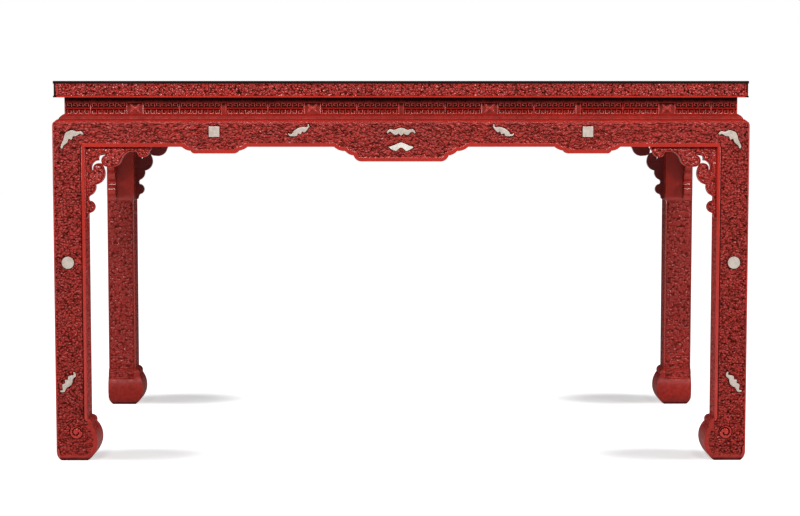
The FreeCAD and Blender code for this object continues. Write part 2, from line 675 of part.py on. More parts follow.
def make_spandrel(name, hand):
    """Make a pierced scroll spandrel from the corner of its opening, to the right or to the left."""
    body = new_body(name)
    outline = [(f"{share[0]} * spandrel_length", f"-{share[1]} * spandrel_height", *share[2:])
               for share in SPANDREL_SHARES]
    pin_across = peg("pin_setback", "-pin_drop", "pin_width + clearance")
    pin_up = peg("pin_reach", "pin_setback", "pin_width + clearance")
    pin_span = ("-overrun", "pin_in_spandrel")
    if hand < 0:
        outline = mirrored(outline)
        pin_up = mirrored(pin_up)
        pin_span = ("-pin_in_spandrel", "overrun")
    extrude(body, name + "_scroll", "XZ_Plane", [outline],
            "spandrel_setback", "spandrel_setback + spandrel_thickness")
    extrude(body, name + "_hole_across", "YZ_Plane", [pin_across], *pin_span, cut=True)
    extrude(body, name + "_hole_up", "XY_Plane", [pin_up], "-pin_in_spandrel", "overrun", cut=True)
    return body


def make_pins(name, span):
    """Make the four pins that hold the two spandrels of one side."""
    body = new_body(name)
    upright = peg("leg_width + pin_reach", "pin_setback")
    extrude(body, name + "_upright", "XY_Plane", at_ends(span, upright),
            "apron_bottom - pin_in_spandrel", "apron_bottom + pin_in_frame")
    level = [peg("pin_setback", "apron_bottom - pin_drop")]
    start = f"{span} / 2 - leg_width"
    extrude(body, name + "_level_right", "YZ_Plane", level,
            f"{start} - pin_in_spandrel", f"{start} + pin_in_frame")
    extrude(body, name + "_level_left", "YZ_Plane", level,
            f"-({start}) - pin_in_frame", f"-({start}) + pin_in_spandrel")
    return body


def make_inlay(name, outlines):
    """Make the inlays of one kind on one side, seated in the lacquer and standing a little proud."""
    body = new_body(name)
    extrude(body, name + "_plate", "XZ_Plane", outlines, "-inlay_stand", "inlay_seat")
    return body


def make_side_patterns(span):
    """Make the patterns of everything that one side of the table holds."""
    inlays = apron_inlays(span)
    inlays["corner_bats"] = at_ends(span, corner_bat())
    inlays["leg_discs"] = at_ends(span, leg_disc())
    inlays["leg_bats"] = at_ends(span, leg_bat())
    length = span.replace("table_", "")
    patterns = {
        "top_rail": make_top_rail(f"top_rail_pattern_{length}", span),
        "waist": make_waist(f"waist_pattern_{length}", span),
        "apron": make_apron(f"apron_pattern_{length}", span),
    }
    for kind, outlines in inlays.items():
        patterns["inlay_" + kind] = make_inlay(f"inlay_{kind}_pattern_{length}", outlines)
    return patterns


pieces = [place("top_panel", make_panel("top_panel_pattern"))]
batten = make_batten("batten_pattern")
for label, middle in BATTEN_MIDDLES.items():
    pieces.append(place(label, batten, 0, middle))
leg = make_leg("leg_pattern")
for label, (turn, corner_x, corner_y) in LEGS.items():
    pieces.append(place(label, leg, turn, corner_x, corner_y))
side_patterns = {span: make_side_patterns(span) for span in ("table_length", "table_depth")}
pin_patterns = {span: make_pins(f"pins_pattern_{span}", span) for span in ("table_length", "table_depth")}
spandrels = {
    1: make_spandrel("spandrel_pattern_left", 1),
    -1: make_spandrel("spandrel_pattern_right", -1),
}
side_pins = []
for side, (span, turn, face_x, face_y) in SIDES.items():
    for kind, pattern in side_patterns[span].items():
        pieces.append(place(f"{kind}_{side}", pattern, turn, face_x, face_y))
    side_pins.append(place(f"pins_{side}", pin_patterns[span], turn, face_x, face_y))
    # Along its side, a spandrel starts at the inner face of the leg.
    along_x = round(math.cos(math.radians(turn)))
    along_y = round(math.sin(math.radians(turn)))
    for label, hand in zip(SPANDREL_NAMES[side], (1, -1)):
        reach = f"({-hand}) * ({span} / 2 - leg_width)"
        pieces.append(place(label, spandrels[hand], turn, f"{face_x} + ({along_x}) * {reach}",
                            f"{face_y} + ({along_y}) * {reach}", "apron_bottom"))
all_pins = document.addObject("Part::Compound", "spandrel_pins")
all_pins.Label = "spandrel_pins"
all_pins.Links = side_pins
pieces.append(all_pins)
document.recompute()

for item in document.Objects:
    if "Invalid" in item.State or "Error" in item.State:
        raise RuntimeError(f"{item.Label} failed: {item.State}")
os.makedirs("parts", exist_ok=True)
for piece in pieces:
    shape = Part.getShape(piece)
    if shape.isNull() or not shape.isValid() or not shape.Solids:
        raise RuntimeError(f"{piece.Label} has no valid solid")
    shape.exportStep(f"parts/{piece.Label}.step")
print(f"{len(pieces)} sub-parts written")
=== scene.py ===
"""Dresses the carved lacquer table: reliefs, lacquers, jade, floor, lights and camera."""

import functools
import math

import bmesh
import bpy
import numpy as np
from mathutils import Euler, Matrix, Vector


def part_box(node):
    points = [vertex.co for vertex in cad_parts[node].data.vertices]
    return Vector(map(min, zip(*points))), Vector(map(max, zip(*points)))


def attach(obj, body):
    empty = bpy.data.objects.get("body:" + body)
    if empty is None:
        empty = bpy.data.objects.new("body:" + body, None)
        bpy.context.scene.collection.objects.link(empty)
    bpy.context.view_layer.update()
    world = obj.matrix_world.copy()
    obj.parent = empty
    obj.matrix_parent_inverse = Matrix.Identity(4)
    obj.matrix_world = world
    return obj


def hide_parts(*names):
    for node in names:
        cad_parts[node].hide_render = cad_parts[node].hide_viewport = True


bl_info = {
    "name": "Carved lacquer table",
    "version": (1, 0, 0),
    "blender": (4, 5, 0),
    "location": "3D View > Sidebar > Table",
    "description": "Carves, lacquers and inlays a table, and sets it on a studio floor",
    "category": "Object",
}

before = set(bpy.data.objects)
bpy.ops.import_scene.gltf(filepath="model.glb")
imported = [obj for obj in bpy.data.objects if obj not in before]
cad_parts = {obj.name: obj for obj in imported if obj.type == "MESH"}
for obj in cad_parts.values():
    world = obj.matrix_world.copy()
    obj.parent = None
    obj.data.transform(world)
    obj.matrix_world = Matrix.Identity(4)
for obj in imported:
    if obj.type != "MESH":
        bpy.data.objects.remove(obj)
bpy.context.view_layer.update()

MM = 0.001
# The raster on which reliefs are drawn before they are cut into a surface.
PITCH = 0.7 * MM

# Heights at which the table's parts change, from the floor.
APRON_BOTTOM = 716 * MM
APRON_TOP = 790 * MM
SHOULDER_START = 760 * MM
SHOULDER_STEP = 777 * MM
WAIST_SETBACK = 25 * MM
# How far the frame's face has drawn in at heights over its shoulder, in millimetres.
SHOULDER = ((764.7, 0), (766.1, 0.3), (767.9, 0.8), (770.6, 2.0), (772.8, 3.5), (775.1, 5.9), (777, 8.7),
            (778, 11), (778.05, 12.5), (780, 13.4), (781.9, 14.5), (783.7, 15.8), (785.3, 17.3), (786.7, 19),
            (788, 20.8), (789.1, 22.8), (790, 25))
LEG_WIDTH = 72 * MM
FOOT_HEIGHT = 98 * MM
SPANDREL_FOOT = 554 * MM
WAIST_HEIGHT = 37 * MM
# The carved band on the top's edge, and where its edgings start under and over the band.
CARVED_BAND = (831.2 * MM, 857.4 * MM)
EDGINGS = (827.2 * MM, 857.9 * MM)
# From one joint of the fret's groups of hooks to the next; a small bat stands at every second joint.
FRET_PERIOD = 200.6 * MM
# One hook of the key fret and the space after it, from its top line down.
FRET_HOOK = ("xxxxx.", "x...x.", "x.xxx.", "x.....")
# A cut fades out at this depth under the surface, so that it drags no hidden joint with it.
FADE = 6 * MM

# Each side: the direction of its length and the direction inwards, seen from above.
SIDES = {
    "front": ((1, 0), (0, 1)),
    "right": ((0, 1), (-1, 0)),
    "back": ((-1, 0), (0, -1)),
    "left": ((0, -1), (1, 0)),
}
SPANDRELS = {
    "front": ("spandrel_front_left", "spandrel_front_right"),
    "right": ("spandrel_right_front", "spandrel_right_back"),
    "back": ("spandrel_back_right", "spandrel_back_left"),
    "left": ("spandrel_left_back", "spandrel_left_front"),
}
# Triangles that a piece may have, by the side that shows it.
APRON_TRIANGLES = {"front": 190000, "right": 70000, "back": 90000, "left": 70000}
LEG_TRIANGLES = {"front": 190000, "back": 90000}
SPANDREL_TRIANGLES = {"front": 40000, "right": 14000, "back": 14000, "left": 14000}
RAIL_TRIANGLES = {"front": 120000, "right": 30000, "back": 50000, "left": 30000}
WAIST_TRIANGLES = {"front": 90000, "right": 25000, "back": 40000, "left": 25000}
LEG_SIDES = {
    "leg_front_left": ("front", "left"),
    "leg_front_right": ("front", "right"),
    "leg_back_right": ("back", "right"),
    "leg_back_left": ("back", "left"),
}


def linear(hex_colour):
    """Turn an sRGB hex colour into linear red, green and blue."""
    channels = [int(hex_colour[start:start + 2], 16) / 255 for start in (1, 3, 5)]
    return tuple(c / 12.92 if c <= 0.04045 else ((c + 0.055) / 1.055) ** 2.4 for c in channels)


def size_of(name, description, default, lowest=0.0, highest=10.0):
    """Describe a length that a user can change."""
    return bpy.props.FloatProperty(name=name, description=description, default=default,
                                   min=lowest, max=highest, precision=4, unit="LENGTH")


def colour_of(name, description, hex_colour):
    """Describe a colour that a user can change."""
    return bpy.props.FloatVectorProperty(name=name, description=description, subtype="COLOR",
                                         size=3, min=0, max=1, default=linear(hex_colour))


class TableCarving(bpy.types.PropertyGroup):
    """Sizes of the carving."""

    fine_cell: size_of("Fine cell", "Mesh cell of the carving at the front", 1.05 * MM, 0.5 * MM)
    plain_cell: size_of("Plain cell", "Mesh cell of the carving elsewhere", 2.0 * MM, 0.5 * MM)
    cloud_length: size_of("Cloud length", "Length of a cloud on the aprons", 16 * MM)
    leg_cloud_length: size_of("Leg cloud length", "Length of a cloud on the legs", 14 * MM)
    cloud_depth: size_of("Cloud depth", "Deepest cut between the clouds", 2.6 * MM)
    curl_width: size_of("Curl width", "Width of a small curl", 7.5 * MM)
    curl_depth: size_of("Curl depth", "Deepest cut between the curls", 2.2 * MM)
    bead_width: size_of("Bead width", "Width of the plain bead round the openings", 7 * MM)
    groove_width: size_of("Groove width", "Width of the groove beside the bead", 2.2 * MM)
    fret_line: size_of("Fret line", "Width of a line of the waist's key fret", 2.15 * MM)
    fret_depth: size_of("Fret depth", "Depth of the ground behind the key fret", 2.1 * MM)
    seed: bpy.props.IntProperty(name="Seed", description="Start of the clouds' random order", default=7)


class TableFinishes(bpy.types.PropertyGroup):
    """Colours of the table."""

    red: colour_of("Red lacquer", "Face of the cinnabar lacquer", "#B12216")
    worn_red: colour_of("Worn red", "Rubbed edges of the lacquer", "#BD2D20")
    deep_red: colour_of("Deep red", "Lower layers of the lacquer", "#7A180E")
    # Grime here is also painted shade in the deepest cuts.
    grime_and_shade: colour_of("Grime", "Wax and dust in the deepest cuts", "#2E0B07")
    dark: colour_of("Dark lacquer", "Edging and top", "#1E0E0C")
    # The maroon is painted shade: the spandrels' backs lie in the shade under the table.
    maroon: colour_of("Maroon lacquer", "Backs of the spandrels", "#803230")
    celadon: colour_of("Celadon jade", "Bats, squares and discs", "#CEC0B5")
    white_jade: colour_of("White jade", "Chime stones", "#E8E2D8")
    wood: colour_of("Bare wood", "Battens and pins", "#8A6440")
    floor: colour_of("Floor", "Studio floor", "#DEDEDE")


class TableStage(bpy.types.PropertyGroup):
    """Camera of the studio."""

    camera_distance: size_of("Camera distance", "From the front of the legs", 4.472)
    camera_height: size_of("Camera height", "Above the floor", 0.823)
    camera_across: size_of("Camera across", "From the table's middle", -0.0173, -10.0)
    lens: bpy.props.FloatProperty(name="Lens", description="Focal length in millimetres on a 36 mm sensor",
                                  default=89.2, min=10)
    tilt: bpy.props.FloatProperty(name="Tilt", description="How far the camera looks down",
                                  default=math.radians(4.58), subtype="ANGLE")
    pan: bpy.props.FloatProperty(name="Pan", description="How far the camera turns to the right",
                                 default=math.radians(0.19), subtype="ANGLE")


# ---------------------------------------------------------------- relief drawn on a raster


class Relief:
    """Depths of cut over a flat sheet, from its lower left corner."""

    def __init__(self, left, bottom, width, height):
        self.left = left
        self.bottom = bottom
        self.width = width
        self.height = height
        shape = (int(math.ceil(height / PITCH)) + 1, int(math.ceil(width / PITCH)) + 1)
        self.depth = np.zeros(shape, np.float32)

    def across(self):
        """Give the sheet's coordinates across and up, for arithmetic on the whole sheet."""
        rows, columns = self.depth.shape
        return self.left + np.arange(columns)[None, :] * PITCH, self.bottom + np.arange(rows)[:, None] * PITCH

    def read(self, across, up):
        """Read the depth at points on the sheet."""
        rows, columns = self.depth.shape
        column = np.clip((across - self.left) / PITCH, 0, columns - 1.001)
        row = np.clip((up - self.bottom) / PITCH, 0, rows - 1.001)
        c, r = column.astype(int), row.astype(int)
        fc, fr = column - c, row - r
        d = self.depth
        return ((d[r, c] * (1 - fc) + d[r, c + 1] * fc) * (1 - fr)
                + (d[r + 1, c] * (1 - fc) + d[r + 1, c + 1] * fc) * fr)


def lay_cuts(depth, *cuts):
    """Lay cuts over a raster one after the other, each a place and its depth."""
    for place, cut in cuts:
        depth = np.where(place, cut, depth)
    return depth


def soften(depth, rounds):
    """Blur a raster a little, so that no cut is steeper than the mesh can show."""
    for _ in range(rounds):
        padded = np.pad(depth, 1, mode="edge")
        depth = (padded[:-2, 1:-1] + padded[2:, 1:-1] + padded[1:-1, :-2] + padded[1:-1, 2:]
                 + 2 * padded[1:-1, 1:-1]) / 6
    return depth


def fill_triangles(relief, triangles):
    """Mark the sheet's points that triangles cover."""
    mask = np.zeros(relief.depth.shape, bool)
    rows, columns = mask.shape
    corners = (triangles - (relief.left, relief.bottom)) / PITCH
    lowest = np.clip(np.floor(corners.min(1)).astype(int), 0, (columns - 1, rows - 1))
    highest = np.clip(np.ceil(corners.max(1)).astype(int) + 1, 0, (columns, rows))
    for (a, b, c), (x0, y0), (x1, y1) in zip(corners, lowest, highest):
        area = (b[0] - a[0]) * (c[1] - a[1]) - (b[1] - a[1]) * (c[0] - a[0])
        if x1 <= x0 or y1 <= y0 or abs(area) < 1e-6:
            continue
        x = np.arange(x0, x1)[None, :]
        y = np.arange(y0, y1)[:, None]
        first = ((b[0] - x) * (c[1] - y) - (b[1] - y) * (c[0] - x)) / area
        second = ((c[0] - x) * (a[1] - y) - (c[1] - y) * (a[0] - x)) / area
        mask[y0:y1, x0:x1] |= (first >= -1e-4) & (second >= -1e-4) & (first + second <= 1 + 1e-4)
    return mask


def distance_inside(mask, reach):
    """Measure from each marked point to the nearest unmarked one, up to a reach."""
    steps = int(reach / PITCH) + 1
    upright = np.where(mask, np.float32(steps), np.float32(0))
    for row in range(1, len(upright)):
        np.minimum(upright[row], upright[row - 1] + 1, out=upright[row])
    for row in range(len(upright) - 2, -1, -1):
        np.minimum(upright[row], upright[row + 1] + 1, out=upright[row])
    square = upright ** 2
    best = square.copy()
    for step in range(1, steps + 1):
        np.minimum(best[:, step:], square[:, :-step] + step ** 2, out=best[:, step:])
        np.minimum(best[:, :-step], square[:, step:] + step ** 2, out=best[:, :-step])
    return np.sqrt(best) * PITCH


# ---------------------------------------------------------------- the carved clouds


def wisp(start_x, start_y, start_r, length, rise, wave, steps=9):
    """Lay discs along a tapering wisp of cloud that trails to the left."""
    t = np.linspace(0, 1, steps)
    x = start_x - length * t
    y = start_y + rise * t + wave * np.sin(t * math.pi * 1.5)
    r = start_r * (1 - t) ** 0.8 + 0.3 * MM
    return list(zip(x, y, r))


def cloud_shape(kind, length, draw):
    """Give the discs that one cloud is made of, and the curls cut in it."""
    if kind == 0:
        head = length * draw.uniform(0.19, 0.25)
        discs = [(0, 0, head)] + wisp(-head * 0.3, head * 0.5, head * 0.62, length * draw.uniform(0.7, 1.0),
                                      -head * draw.uniform(0.2, 1.2), head * 0.35)
        curls = [(0, 0, head)]
    elif kind == 1:
        head = length * draw.uniform(0.15, 0.19)
        low = -head * 0.75
        discs = [(0, 0, head), (head * 1.25, low, head * 0.85), (-head * 1.25, low, head * 0.9)]
        discs += wisp(-head * 2.0, low, head * 0.62, length * 0.55, head * 0.5, head * 0.25)
        discs += wisp(0, low * 1.2, head * 0.7, head, 0, 0, 3)
        curls = list(discs[:3])
    else:
        thick = length * draw.uniform(0.08, 0.11)
        half = wisp(0, 0, thick, length * draw.uniform(0.35, 0.5), thick * 1.2, thick * 0.8)
        discs = half + [(-x, -y, r) for x, y, r in half]
        curls = []
    return np.array(discs), curls


def cut_cloud(depth, middle, angle, flip, shape, level, gap, rim):
    """Cut one cloud into a raster of depths from 0 to 1, over what is there."""
    discs, curls = shape
    cosine, sine = math.cos(angle), math.sin(angle)

    def placed(x, y):
        return middle[0] + flip * x * cosine - y * sine, middle[1] + flip * x * sine + y * cosine

    def of_nearest(values):
        return np.take_along_axis(values, nearest[..., None], 2)[..., 0]

    disc_x, disc_y = placed(discs[:, 0], discs[:, 1])
    radius = discs[:, 2]
    room = radius + gap + PITCH
    x0 = max(int((disc_x - room).min() / PITCH), 0)
    x1 = min(int((disc_x + room).max() / PITCH) + 1, depth.shape[1])
    y0 = max(int((disc_y - room).min() / PITCH), 0)
    y1 = min(int((disc_y + room).max() / PITCH) + 1, depth.shape[0])
    if x1 <= x0 or y1 <= y0:
        return
    x, y = np.meshgrid(np.arange(x0, x1) * PITCH, np.arange(y0, y1) * PITCH)
    away = np.hypot(x[..., None] - disc_x, y[..., None] - disc_y)
    edge = away - radius
    nearest = edge.argmin(2)
    distance = of_nearest(edge)
    dome = 1 - (1 - np.clip(-distance / rim, 0, 1)) ** 2
    # A fine groove runs along the wisps, and a spiral in each curl.
    groove = 0.2 * np.exp(-(of_nearest(away / radius) / 0.3) ** 2) * (radius[nearest] < radius[0] * 0.8)
    for curl_x, curl_y, curl_r in curls:
        from_x, from_y = placed(curl_x, curl_y)
        out = np.hypot(x - from_x, y - from_y)
        turn = (np.arctan2(y - from_y, (x - from_x) * flip) + math.pi) / (2 * math.pi)
        spiral = curl_r * (0.22 + 0.36 * turn)
        cut = 0.4 * np.exp(-((out - spiral) / (curl_r * 0.16)) ** 2)
        groove = np.where(out < curl_r * 0.85, cut, groove)
    cloud = np.clip(1 - dome * level + groove * dome, 0, 1)
    # The cut round a cloud is deepest on its underside.
    upwards = (y - disc_y[nearest]) / np.maximum(of_nearest(away), PITCH)
    under = 0.3 + 0.7 * np.clip(-0.3 - upwards, 0, 0.4) / 0.4
    window = depth[y0:y1, x0:x1]
    window[:] = lay_cuts(window, (distance < gap, np.maximum(window, under)), (distance < 0, cloud))


def carve_clouds(relief, length, seed, needed, most_turned):
    """Cover a sheet with clouds, as depths from 0 at the top of the relief to 1 in the deepest cut."""
    draw = np.random.default_rng(seed)
    ground = 0.45
    depth = np.full(relief.depth.shape, ground, np.float32)
    gap, rim = max(length * 0.06, 1.3 * MM), max(length * 0.06, 1.0 * MM)
    spots = []
    up = 0.0
    row = 0
    while up < relief.height + length * 0.2:
        across = -length * (0.3 + 0.4 * (row % 2))
        while across < relief.width + length:
            right, higher = draw.uniform(-0.12, 0.12), draw.uniform(-0.08, 0.08)
            spots.append((across + right * length, up + higher * length))
            across += length * draw.uniform(0.45, 0.65)
        up += length * 0.28
        row += 1
    for index in draw.permutation(len(spots)):
        spot = spots[index]
        column = min(max(int(spot[0] / PITCH), 0), depth.shape[1] - 1)
        line = min(max(int(spot[1] / PITCH), 0), depth.shape[0] - 1)
        if not needed[line, column]:
            continue
        flip = 1 if draw.random() < 0.5 else -1
        kind = draw.random()
        shape = cloud_shape(0 if kind < 0.45 else 1 if kind < 0.75 else 2, length, draw)
        angle = draw.uniform(-most_turned, most_turned)
        cut_cloud(depth, spot, angle, flip, shape, draw.uniform(0.75, 1.0), gap, rim)
    return soften(depth, 1)


def carve_curls(relief, pitch, deepest, seed, lean_back=0.12):
    """Cover a sheet with small curls side by side, each leaning its own way, as depths of cut."""
    draw = np.random.default_rng(seed)
    rows, columns = relief.depth.shape
    # Rows stand closer than the curls in a row, and a curl is drawn out.
    squash, lengthwise, crosswise = 0.75, 0.68, 1.4
    x, y = np.meshgrid(np.arange(columns) * PITCH / pitch + 1, np.arange(rows) * PITCH / pitch / squash + 1)
    grid = (int(y.max()) + 3, int(x.max()) + 3)
    centre_x, centre_y = draw.uniform(0.1, 0.9, grid), draw.uniform(0.1, 0.9, grid)
    lowered, turned = draw.uniform(0, 0.4, grid), draw.uniform(0, 2 * math.pi, grid)
    # Slopes to the side and up: a curl that leans back catches the light.
    lean, rise = draw.normal(0, 0.15, grid), draw.normal(lean_back, 0.3, grid)
    nearest = np.full(x.shape, 9.0)
    next_one = nearest.copy()
    top = np.zeros(x.shape)
    for row_step in (-1, 0, 1):
        for column_step in (-1, 0, 1):
            own = y.astype(int) + row_step, x.astype(int) + column_step
            right = x - own[1] - centre_x[own]
            up = (y - own[0] - centre_y[own]) * squash
            cosine, sine = np.cos(turned[own]), np.sin(turned[own])
            forwards = right * cosine + up * sine
            out = np.hypot(forwards * lengthwise, (up * cosine - right * sine) * crosswise)
            closer = out < nearest
            next_one = np.where(closer, nearest, np.minimum(next_one, out))
            nearest = np.where(closer, out, nearest)
            # The comma is a cut round the front of a curl.
            comma = np.exp(-((out - 0.24) / 0.08) ** 2) * (forwards > 0)
            slope = (right * lean[own] + up * rise[own]) * pitch
            top = np.where(closer, (lowered[own] + 0.35 * comma) * deepest + slope, top)
    dome = 1 - (1 - np.clip((next_one - nearest) / 0.4, 0, 1)) ** 2
    return np.clip(deepest - dome * (deepest - top), -0.15 * deepest, deepest).astype(np.float32)


# ---------------------------------------------------------------- surfaces of the table


def read_all(items, name, width=3, kind=np.float32):
    """Read a property of all of a mesh's items, one row of numbers for each."""
    values = np.empty(len(items) * width, kind)
    items.foreach_get(name, values)
    return values.reshape(-1, width)


def corners_of(obj):
    """Give a mesh's points."""
    return read_all(obj.data.vertices, "co").astype(np.float64)


def half_sizes():
    """Give half the table's length and depth over the legs."""
    low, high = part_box("leg_front_left")
    return -low[0], -low[1]


def side_span(side):
    """Give a side's length and how far its face stands from the middle."""
    half_length, half_depth = half_sizes()
    if side in ("front", "back"):
        return 2 * half_length, half_depth
    return 2 * half_depth, half_length


def inward(side):
    """Give the direction from a side's face into the table."""
    return np.array((*SIDES[side][1], 0.0))


def to_side(side, points):
    """Turn points into a side's own frame: along it, inwards from its face, and up."""
    along, inwards = (np.array(direction) for direction in SIDES[side])
    _, face = side_span(side)
    flat = points[..., :2]
    return flat @ along, flat @ inwards + face, points[..., 2]


def cover(relief, side, node, least=0.3, reach=math.inf):
    """Mark a side's sheet where a node's faces lie that look outwards and stand less far in than a reach."""
    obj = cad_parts[node]
    obj.data.calc_loop_triangles()
    corners = corners_of(obj)[read_all(obj.data.loop_triangles, "vertices", 3, np.int32)]
    normal = np.cross(corners[:, 1] - corners[:, 0], corners[:, 2] - corners[:, 0])
    normal /= np.maximum(np.linalg.norm(normal, axis=1, keepdims=True), 1e-12)
    along, inwards, up = to_side(side, corners[normal @ -inward(side) > least])
    return fill_triangles(relief, np.dstack([along, up])[inwards.max(1) < reach])


def shoulder(up):
    """Give how far the frame's face has drawn in at a height."""
    heights, setbacks = np.array(SHOULDER).T * MM
    return np.interp(up, heights, setbacks)


@functools.lru_cache(maxsize=None)
def side_relief(side):
    """Draw the carving of a side's apron and of the two leg faces that end it."""
    if side in ("back", "left"):
        return side_relief({"back": "front", "left": "right"}[side])
    carving = bpy.context.scene.table_carving
    deep = carving.cloud_depth
    span, _ = side_span(side)
    relief = Relief(-span / 2, 0, span, APRON_TOP)
    mask = np.zeros(relief.depth.shape, bool)
    for node in [f"apron_{side}"] + [leg for leg, sides in LEG_SIDES.items() if side in sides]:
        mask |= cover(relief, side, node, reach=WAIST_SETBACK + MM)
    mask[-2:] = True
    x, z = relief.across()
    corner = span / 2 - np.abs(x)
    # The table's outer corners over the feet and its shoulder aren't an edge of the bead.
    corner_strip, over_feet, over_field = 12 * MM, 30 * MM, SHOULDER_START - 15 * MM
    sheet = mask | ((corner < corner_strip) & (z > over_feet)) | (z > over_field)
    bead = carving.bead_width
    field_start = bead + carving.groove_width
    edge = distance_inside(sheet, field_start + 3 * MM)
    seed = carving.seed + len(side) * 31 + ord(side[0])
    # The legs' clouds are smaller, and meet the apron's at the mitre.
    under_mitre = z - APRON_BOTTOM < (1 - corner / LEG_WIDTH) * (APRON_TOP - APRON_BOTTOM)
    on_leg = (corner < LEG_WIDTH) & under_mitre
    clouds = np.where(on_leg, carve_clouds(relief, carving.leg_cloud_length, seed, mask & on_leg, 1.3),
                      carve_clouds(relief, carving.cloud_length, seed + 1, mask & ~on_leg, 0.7))
    curls = carve_curls(relief, carving.curl_width, carving.curl_depth, seed, 0.24)
    field = np.maximum(clouds * deep * np.where(on_leg, 0.85, 0.92), curls * np.where(on_leg, 1.05, 0.85))
    # Worn away at the feet, and shallow on the upper shoulder.
    worn_below, shallow_above = 9 * MM, 768 * MM
    field = field * (np.clip((z - worn_below) / (3 * MM), 0, 1)
                     * (1 - 0.75 * np.clip((z - shallow_above) / (9 * MM), 0, 1)))
    # Over the step lie a fine line and, under the waist, a bead; the outermost strip of the corners is eased.
    line_up, half_line, line_depth = 1.5 * MM, 0.8 * MM, 0.9 * MM
    upper_bead, half_bead, strip = APRON_TOP - 4.5 * MM, 1.5 * MM, 3.2 * MM
    on_bead = (z - upper_bead) / half_bead
    depth = lay_cuts(
        field,
        (z > SHOULDER_STEP, 0),
        (np.abs(z - SHOULDER_STEP - line_up) < half_line, line_depth),
        (np.abs(on_bead) < 1.7, 0.4 * MM - 0.5 * MM * np.sqrt(np.clip(1 - on_bead ** 2, 0, 1))),
        (edge < field_start, deep * np.where(on_leg, 0.9, 0.12)),
        (edge < bead, 0.2 * MM * (np.abs(edge - bead / 2) / (bead / 2)) ** 2),
        (corner < strip, 1.1 * MM * (1 - corner / strip) ** 2))
    # A ring with a spiral in it curls on each foot.
    ring_in, ring_up, ring_r, ring_groove, half_spiral = 46 * MM, 66 * MM, 14 * MM, 1.8 * MM, 1.6 * MM
    for sign in (-1, 1):
        right = x - sign * (span / 2 - ring_in)
        out = np.hypot(right, z - ring_up)
        turn = (np.arctan2(z - ring_up, right * sign) + math.pi) / (2 * math.pi)
        spiral = np.abs(out - ring_r * (0.35 + 0.5 * turn)) < half_spiral
        depth = lay_cuts(depth, (out < ring_r + ring_groove, deep * 0.9),
                         (out < ring_r, np.where(spiral, deep * 0.85, 0.1 * MM)))
    # A groove goes round each inlay, and its own place stays flat.
    inlays = np.zeros(mask.shape, bool)
    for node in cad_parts:
        if node.startswith("inlay") and node.endswith(side):
            inlays |= cover(relief, side, node)
    # Cut the full 2.6 mm deep, the groove takes the darkest grime colour: painted shade round the jade.
    groove, groove_depth = 1.7 * MM, 2.6 * MM
    beside = distance_inside(~inlays, 3 * MM) < groove
    depth = lay_cuts(depth, (beside, np.maximum(depth, groove_depth)), (inlays, 0))
    relief.depth = depth.astype(np.float32)
    return relief


@functools.lru_cache(maxsize=None)
def inner_relief():
    """Draw the curls of a leg's inner face between two grooves, with the foot and the spandrel's place plain."""
    carving = bpy.context.scene.table_carving
    relief = Relief(-MM, 0, 100 * MM, APRON_TOP)
    x, z = relief.across()
    curls = carve_curls(relief, carving.curl_width * 1.3, carving.curl_depth * 0.85, carving.seed, 0.2)
    border = np.minimum(x - MM, LEG_WIDTH - MM - x)
    start = carving.bead_width * 0.6
    groove = (border > start - carving.groove_width) & (border <= start)
    plain = (z > SPANDREL_FOOT - MM) | (z < FOOT_HEIGHT - 26 * MM)
    # A line ends the curls under the spandrel.
    line = np.abs(z - SPANDREL_FOOT + 2 * MM) < 1.5 * MM
    depth = lay_cuts(0, (border > start, curls), (groove, carving.cloud_depth * 0.6), (plain, 0),
                     (line & (border > 0), 1.2 * MM))
    relief.depth = depth.astype(np.float32)
    return relief


def apply_modifiers(piece):
    """Turn a piece's mesh into what its modifiers make of it."""
    fine = bpy.data.meshes.new_from_object(piece.evaluated_get(bpy.context.evaluated_depsgraph_get()))
    piece.modifiers.clear()
    old = piece.data
    piece.data = fine
    bpy.data.meshes.remove(old)


def recut(node, cell=None):
    """Copy a CAD node as an even mesh that keeps its sharp edges, with fine cells where the front shows it."""
    carving = bpy.context.scene.table_carving
    cell = cell or (carving.fine_cell if "front" in node else carving.plain_cell)
    work = bmesh.new()
    work.from_mesh(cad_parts[node].data)
    bmesh.ops.remove_doubles(work, verts=work.verts, dist=0.01 * MM)
    coarse = bpy.data.meshes.new(node + "_coarse")
    work.to_mesh(coarse)
    work.free()
    low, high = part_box(node)
    longest = max(high[axis] - low[axis] for axis in range(3))
    # The modifier halves its box at each level, and the piece takes this share of the box at most.
    share = 0.99
    levels = math.ceil(math.log2(longest / (share * cell)))
    piece = bpy.data.objects.new("carved_" + node, coarse)
    bpy.context.collection.objects.link(piece)
    even = piece.modifiers.new("even", "REMESH")
    even.mode = "SHARP"
    even.octree_depth = levels
    even.scale = min(share, longest / (2 ** levels * cell))
    even.use_remove_disconnected = False
    apply_modifiers(piece)
    piece.data.name = piece.name
    piece.data.materials.clear()
    return piece


def set_depths(piece, points, cuts):
    """Move a mesh's points and keep how deep each was cut, with dust and painted shade added, in millimetres."""
    piece.data.vertices.foreach_set("co", points.astype(np.float32).ravel())
    kept = piece.data.attributes.new("cut", "FLOAT", "POINT")
    kept.data.foreach_set("value", (cuts / MM).astype(np.float32))
    piece.data.update()


def sink_relief(piece, side, relief, face, fade=4 * MM, shown=1, deepened=1, dust_and_shade=0):
    """Cut a relief into a piece, fading out behind its face, and keep the depths with the dust and painted shade
    on them.
    """
    points = corners_of(piece)
    along, inwards, up = to_side(side, points)
    cuts = relief.read(along, up) * (np.clip(1 - (inwards - face) / fade, 0, 1) * shown)
    set_depths(piece, points + inward(side) * cuts[:, None], cuts * deepened + dust_and_shade)


